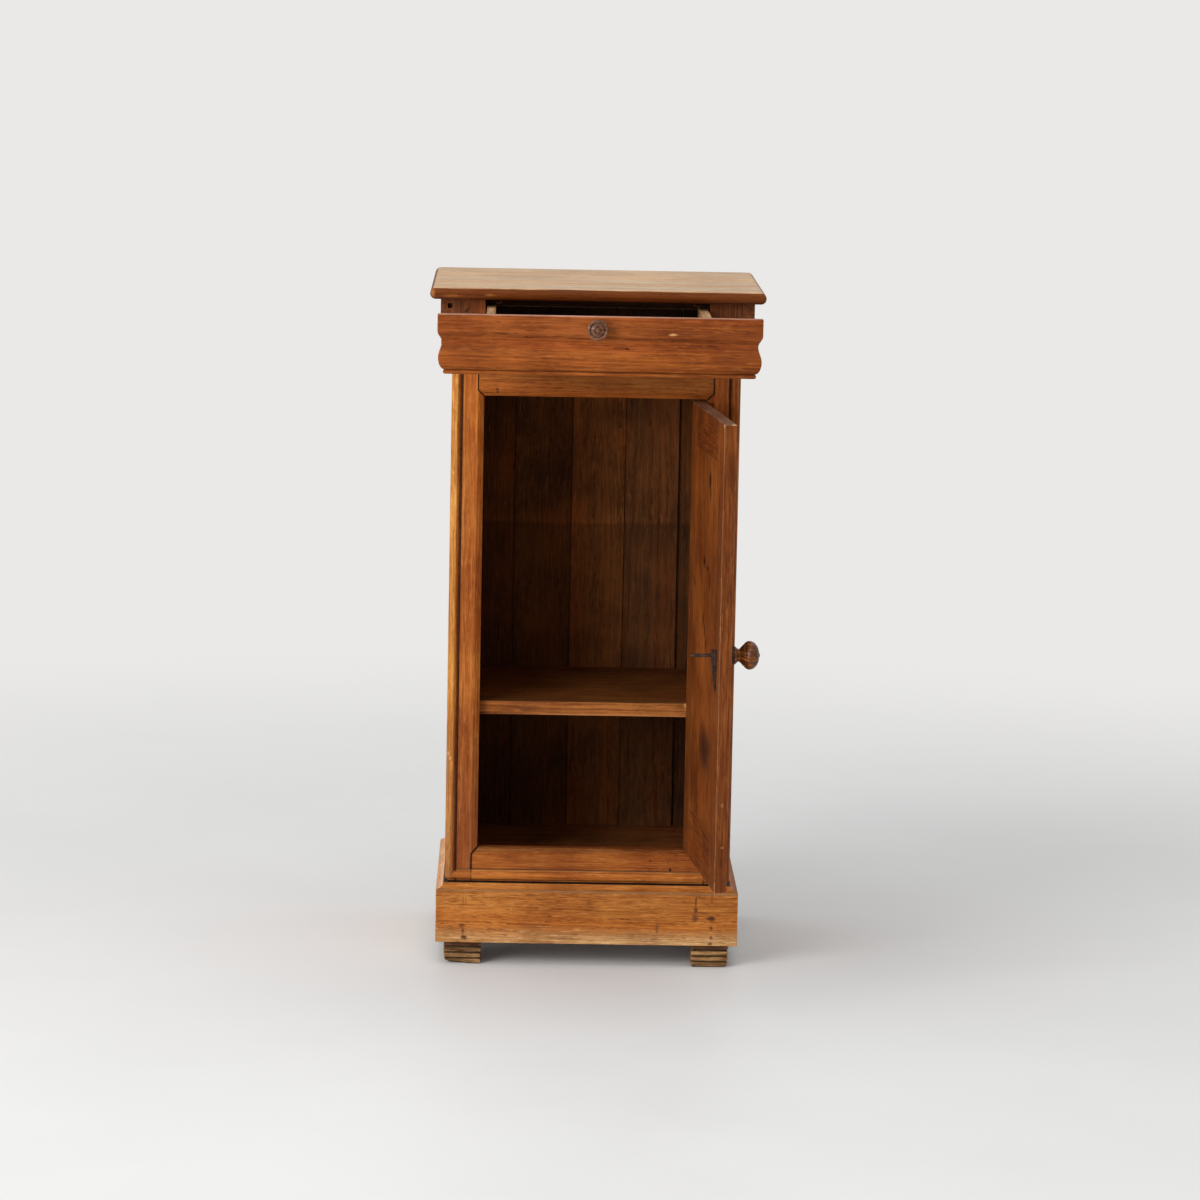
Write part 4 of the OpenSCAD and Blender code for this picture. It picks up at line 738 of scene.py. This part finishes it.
# What both knobs share
knobLook = {"deep": (58, 26, 6), "mid": (106, 54, 14), "light": (166, 100, 38), "rough": 0.28,
            "edge": (186, 130, 82), "edgeAmount": 0.4, "edgeWidth": 0.0008, "dirtShade": 1.0,
            "dirtShadeReach": 0.0024, "shine": 0.3, "streaks": 0.8}

# Drawer pull: a flared button. Its rim is half an ellipse, and the face inside it is a dome,
#   height(r) = boss (1 - (r / inner)^2) + button exp(-(r / buttonWide)^2)
#               - dimple exp(-(r / dimpleWide)^2) - groove exp(-((r - grooveAt) / grooveWide)^2)
pullShape = {"radius": 0.0120, "length": 0.0166, "seat": (-0.003, -0.339, 0.7695), "axis": (0, -1, 0),
             "spigot": 0.004, "spigotLong": 0.024, "base": 0.56, "baseLong": 0.0025, "waist": 0.47,
             "lip": 0.0005, "ring": 0.0019, "ringHigh": 0.0017, "boss": 0.0026,
             "button": (0.0012, 0.0019), "dimple": (0.0007, 0.0007), "groove": (0.0013, 0.0034, 0.0006)}
pullLook = {**knobLook, "seed": 70, "grain": "y", "bands": 0.4,
            "deep": (44, 24, 13), "mid": (82, 46, 28), "light": (124, 80, 54)}


def pullOutline(look):
    size, base, waist = look["radius"], look["baseLong"], look["waist"]
    spigot, inside = look["spigot"], -look["spigotLong"]
    stem = [(0, inside), (spigot, inside), (spigot, 0), (size * look["base"], 0)]
    floor = look["length"] - look["boss"] - look["button"][0] + look["dimple"][0]
    t = np.linspace(0, 1, 14)
    flare = size * (waist + (1 - waist) * (1 - np.cos(pi * t)) / 2)
    body = np.stack([flare, base + (floor - base - look["lip"]) * t], 1)
    a = np.linspace(0, pi, 20)
    rim = np.stack([size - look["ring"] * (1 - np.cos(a)), floor + look["ringHigh"] * np.sin(a)], 1)
    inner = size - 2 * look["ring"]
    r = np.linspace(inner, 0, 50)[1:]
    deep, place, width = look["groove"]
    face = floor + look["boss"] * (1 - (r / inner) ** 2) - deep * np.exp(-((r - place) / width) ** 2)
    face = face + look["button"][0] * np.exp(-(r / look["button"][1]) ** 2)
    face = face - look["dimple"][0] * np.exp(-(r / look["dimple"][1]) ** 2)
    return stem + body.tolist() + rim.tolist() + np.stack([r, face], 1).tolist()


turnedPiece("drawer_pull", "drawer_knob", pullOutline(pullShape), pullShape["seat"], pullShape["axis"],
            oakMaterial("drawer pull wood", {**oak, **pullLook}))

# Door knob: a flange, then with t from 0 to 1 along each stretch
#   hollow radius = neck + (flange - neck) (1 - t)^2.2
#   flare radius = neck + (radius - neck) sin(pi t / 2)^1.25
#   dome radius = radius (1 - t^2)^0.45
# less two turned lines, each with its place and width as t, and a small button at the end
knobShape = {"seat": (0.15516, -0.36453, 0.408), "axis": (0.994522, 0.104528, 0), "flange": 0.0104,
             "flangeLong": 0.0024, "eased": 0.0004, "neck": 0.0073, "hollow": 0.0046, "radius": 0.0162,
             "flare": 0.0116, "dome": 0.0110, "line": 0.0007, "flareLine": (0.48, 0.035),
             "domeLine": (0.68, 0.03), "button": 0.0023, "buttonLong": 0.0011}


def knobOutline(look):
    flange, long, neck, eased = look["flange"], look["flangeLong"], look["neck"], look["eased"]
    start = [(0, 0), (flange - eased, 0), (flange, 0.25 * long), (flange, 0.8 * long),
             (flange - eased, long)]
    t = np.linspace(0, 1, 16)[1:]
    hollow = np.stack([neck + (flange - neck) * (1 - t) ** 2.2, long + look["hollow"] * t], 1)
    t = np.linspace(0, 1, 28)[1:]
    flare = neck + (look["radius"] - neck) * np.sin(pi * t / 2) ** 1.25
    place, width = look["flareLine"]
    flare = flare - look["line"] * np.exp(-((t - place) / width) ** 2)
    flareStart = long + look["hollow"]
    body = np.stack([flare, flareStart + look["flare"] * t], 1)
    t = np.sin(np.linspace(0, pi / 2, 44))[1:-2]
    place, width = look["domeLine"]
    dome = look["radius"] * (1 - t ** 2) ** 0.45 - look["line"] * np.exp(-((t - place) / width) ** 2)
    domeStart = flareStart + look["flare"]
    front = np.stack([dome, domeStart + look["dome"] * t], 1)
    domeEnd = domeStart + look["dome"]
    a = np.linspace(0, pi / 2, 8)
    button = np.stack([look["button"] * np.cos(a), domeEnd + look["buttonLong"] * np.sin(a)], 1)
    return start + hollow.tolist() + body.tolist() + front.tolist() + button.tolist()


turnedPiece("turned_door_knob", "door_knob", knobOutline(knobShape), knobShape["seat"], knobShape["axis"],
            oakMaterial("door knob wood", {**oak, **knobLook, "seed": 72, "grain": "x"}))
ironLook = {"dark": (44, 32, 26), "light": (84, 64, 54), "rust": (98, 56, 34), "rough": 0.48, "metal": 0.6}
ironNodes = ("hinge_frame_leaves", "hinge_pins", "hinge_frame_screws", "hinge_door_leaves",
             "hinge_door_screws", "back_nails", "knob_rosette", "latch_spindle", "latch_arm")
iron = ironMaterial("old iron", ironLook)
for name in ironNodes:
    dress(nodes[name], iron)
print("finishes given")

# Room: a round pale floor that fades into the backdrop, soft light from the front left and from above
roomLook = {"floor": (229, 231, 233), "backdrop": (234, 233, 231), "ambientLow": 0.12, "ambientHigh": 0.80,
            "behind": 0.5, "floorRadius": 40.0, "fade": (0.7, 2.4)}


def addFloor(look):
    turns = np.linspace(0, 2 * pi, roundSteps + 1)[:-1]
    rim = np.stack([look["floorRadius"] * np.cos(turns), look["floorRadius"] * np.sin(turns), 0 * turns], 1)
    mesh = bpy.data.meshes.new("floor")
    mesh.from_pydata(rim.tolist(), [], [list(range(len(rim)))])
    floor = bpy.data.objects.new("floor", mesh)
    bpy.context.collection.objects.link(floor)
    material, place = newMaterial("pale floor")
    cloud = place.noise(1.3, 4, 0.6)
    colour = cloud.rise(0.3, 0.7).mixed(tone(*look["floor"]), tone(*[c - 5 for c in look["floor"]]))
    rough = place.noise(6, 3) * 0.2 + 0.4
    near = place.node("BsdfPrincipled", {"Base Color": colour, "Roughness": rough,
                                         "Specular IOR Level": 0.2})
    far = place.node("Emission", {"Color": tone(*look["backdrop"])})
    seen = Wire(place.tree, place.tree.nodes.new("ShaderNodeLightPath").outputs["Is Camera Ray"])
    both = near.node("MixShader", {0: place.length().rise(*look["fade"]) * seen, 1: near, 2: far})
    place.node("OutputMaterial", {"Surface": both})
    mesh.materials.append(material)


# The world is dimmer at the horizon than overhead, and dimmer behind the object than in front of it.
# The camera and shiny surfaces see the backdrop's colour instead.
def addWorld(look):
    world = bpy.data.worlds.new("room")
    bpy.context.scene.world = world
    world.use_nodes = True
    tree = world.node_tree
    tree.nodes.clear()
    seen = Wire(tree, tree.nodes.new("ShaderNodeLightPath").outputs["Is Camera Ray"])
    shine = Wire(tree, seen.socket.node.outputs["Is Glossy Ray"])
    _, back, up = Wire(tree, tree.nodes.new("ShaderNodeTexCoord").outputs["Generated"]).parts()
    strength = up.rise(-0.05, 0.6) * (look["ambientHigh"] - look["ambientLow"]) + look["ambientLow"]
    strength = strength * (1 - back.rise(-0.1, 0.8) * look["behind"])
    sky = seen.node("Background", {"Color": (1.0, 0.985, 0.965), "Strength": strength})
    pale = seen.node("Background", {"Color": tone(*look["backdrop"]), "Strength": 1.0})
    both = seen.node("MixShader", {0: seen.most(shine), 1: sky, 2: pale})
    seen.node("OutputWorld", {"Surface": both})


def addLamp(name, look):
    data = bpy.data.lights.new(name, "AREA")
    data.shape = "RECTANGLE"
    data.size, data.size_y = look["size"]
    data.energy = look["power"]
    data.color = look["colour"]
    lamp = bpy.data.objects.new(name, data)
    lamp.location = look["place"]
    lamp.rotation_euler = (Vector(look["aim"]) - Vector(look["place"])).to_track_quat("-Z", "Y").to_euler()
    bpy.context.collection.objects.link(lamp)


addFloor(roomLook)
addWorld(roomLook)
windowLight = {"place": (-3.0, -3.6, 1.9), "aim": (0, 0, 0.4), "size": (2.6, 2.4), "power": 165,
               "colour": (1.0, 0.98, 0.95)}
ceilingLight = {"place": (-0.4, -0.6, 3.4), "aim": (0, 0, 0), "size": (3.0, 3.0), "power": 24,
                "colour": (1.0, 0.985, 0.96)}
addLamp("window light", windowLight)
addLamp("ceiling light", ceilingLight)
bpy.context.scene.view_settings.view_transform = "Standard"
print("room lit")
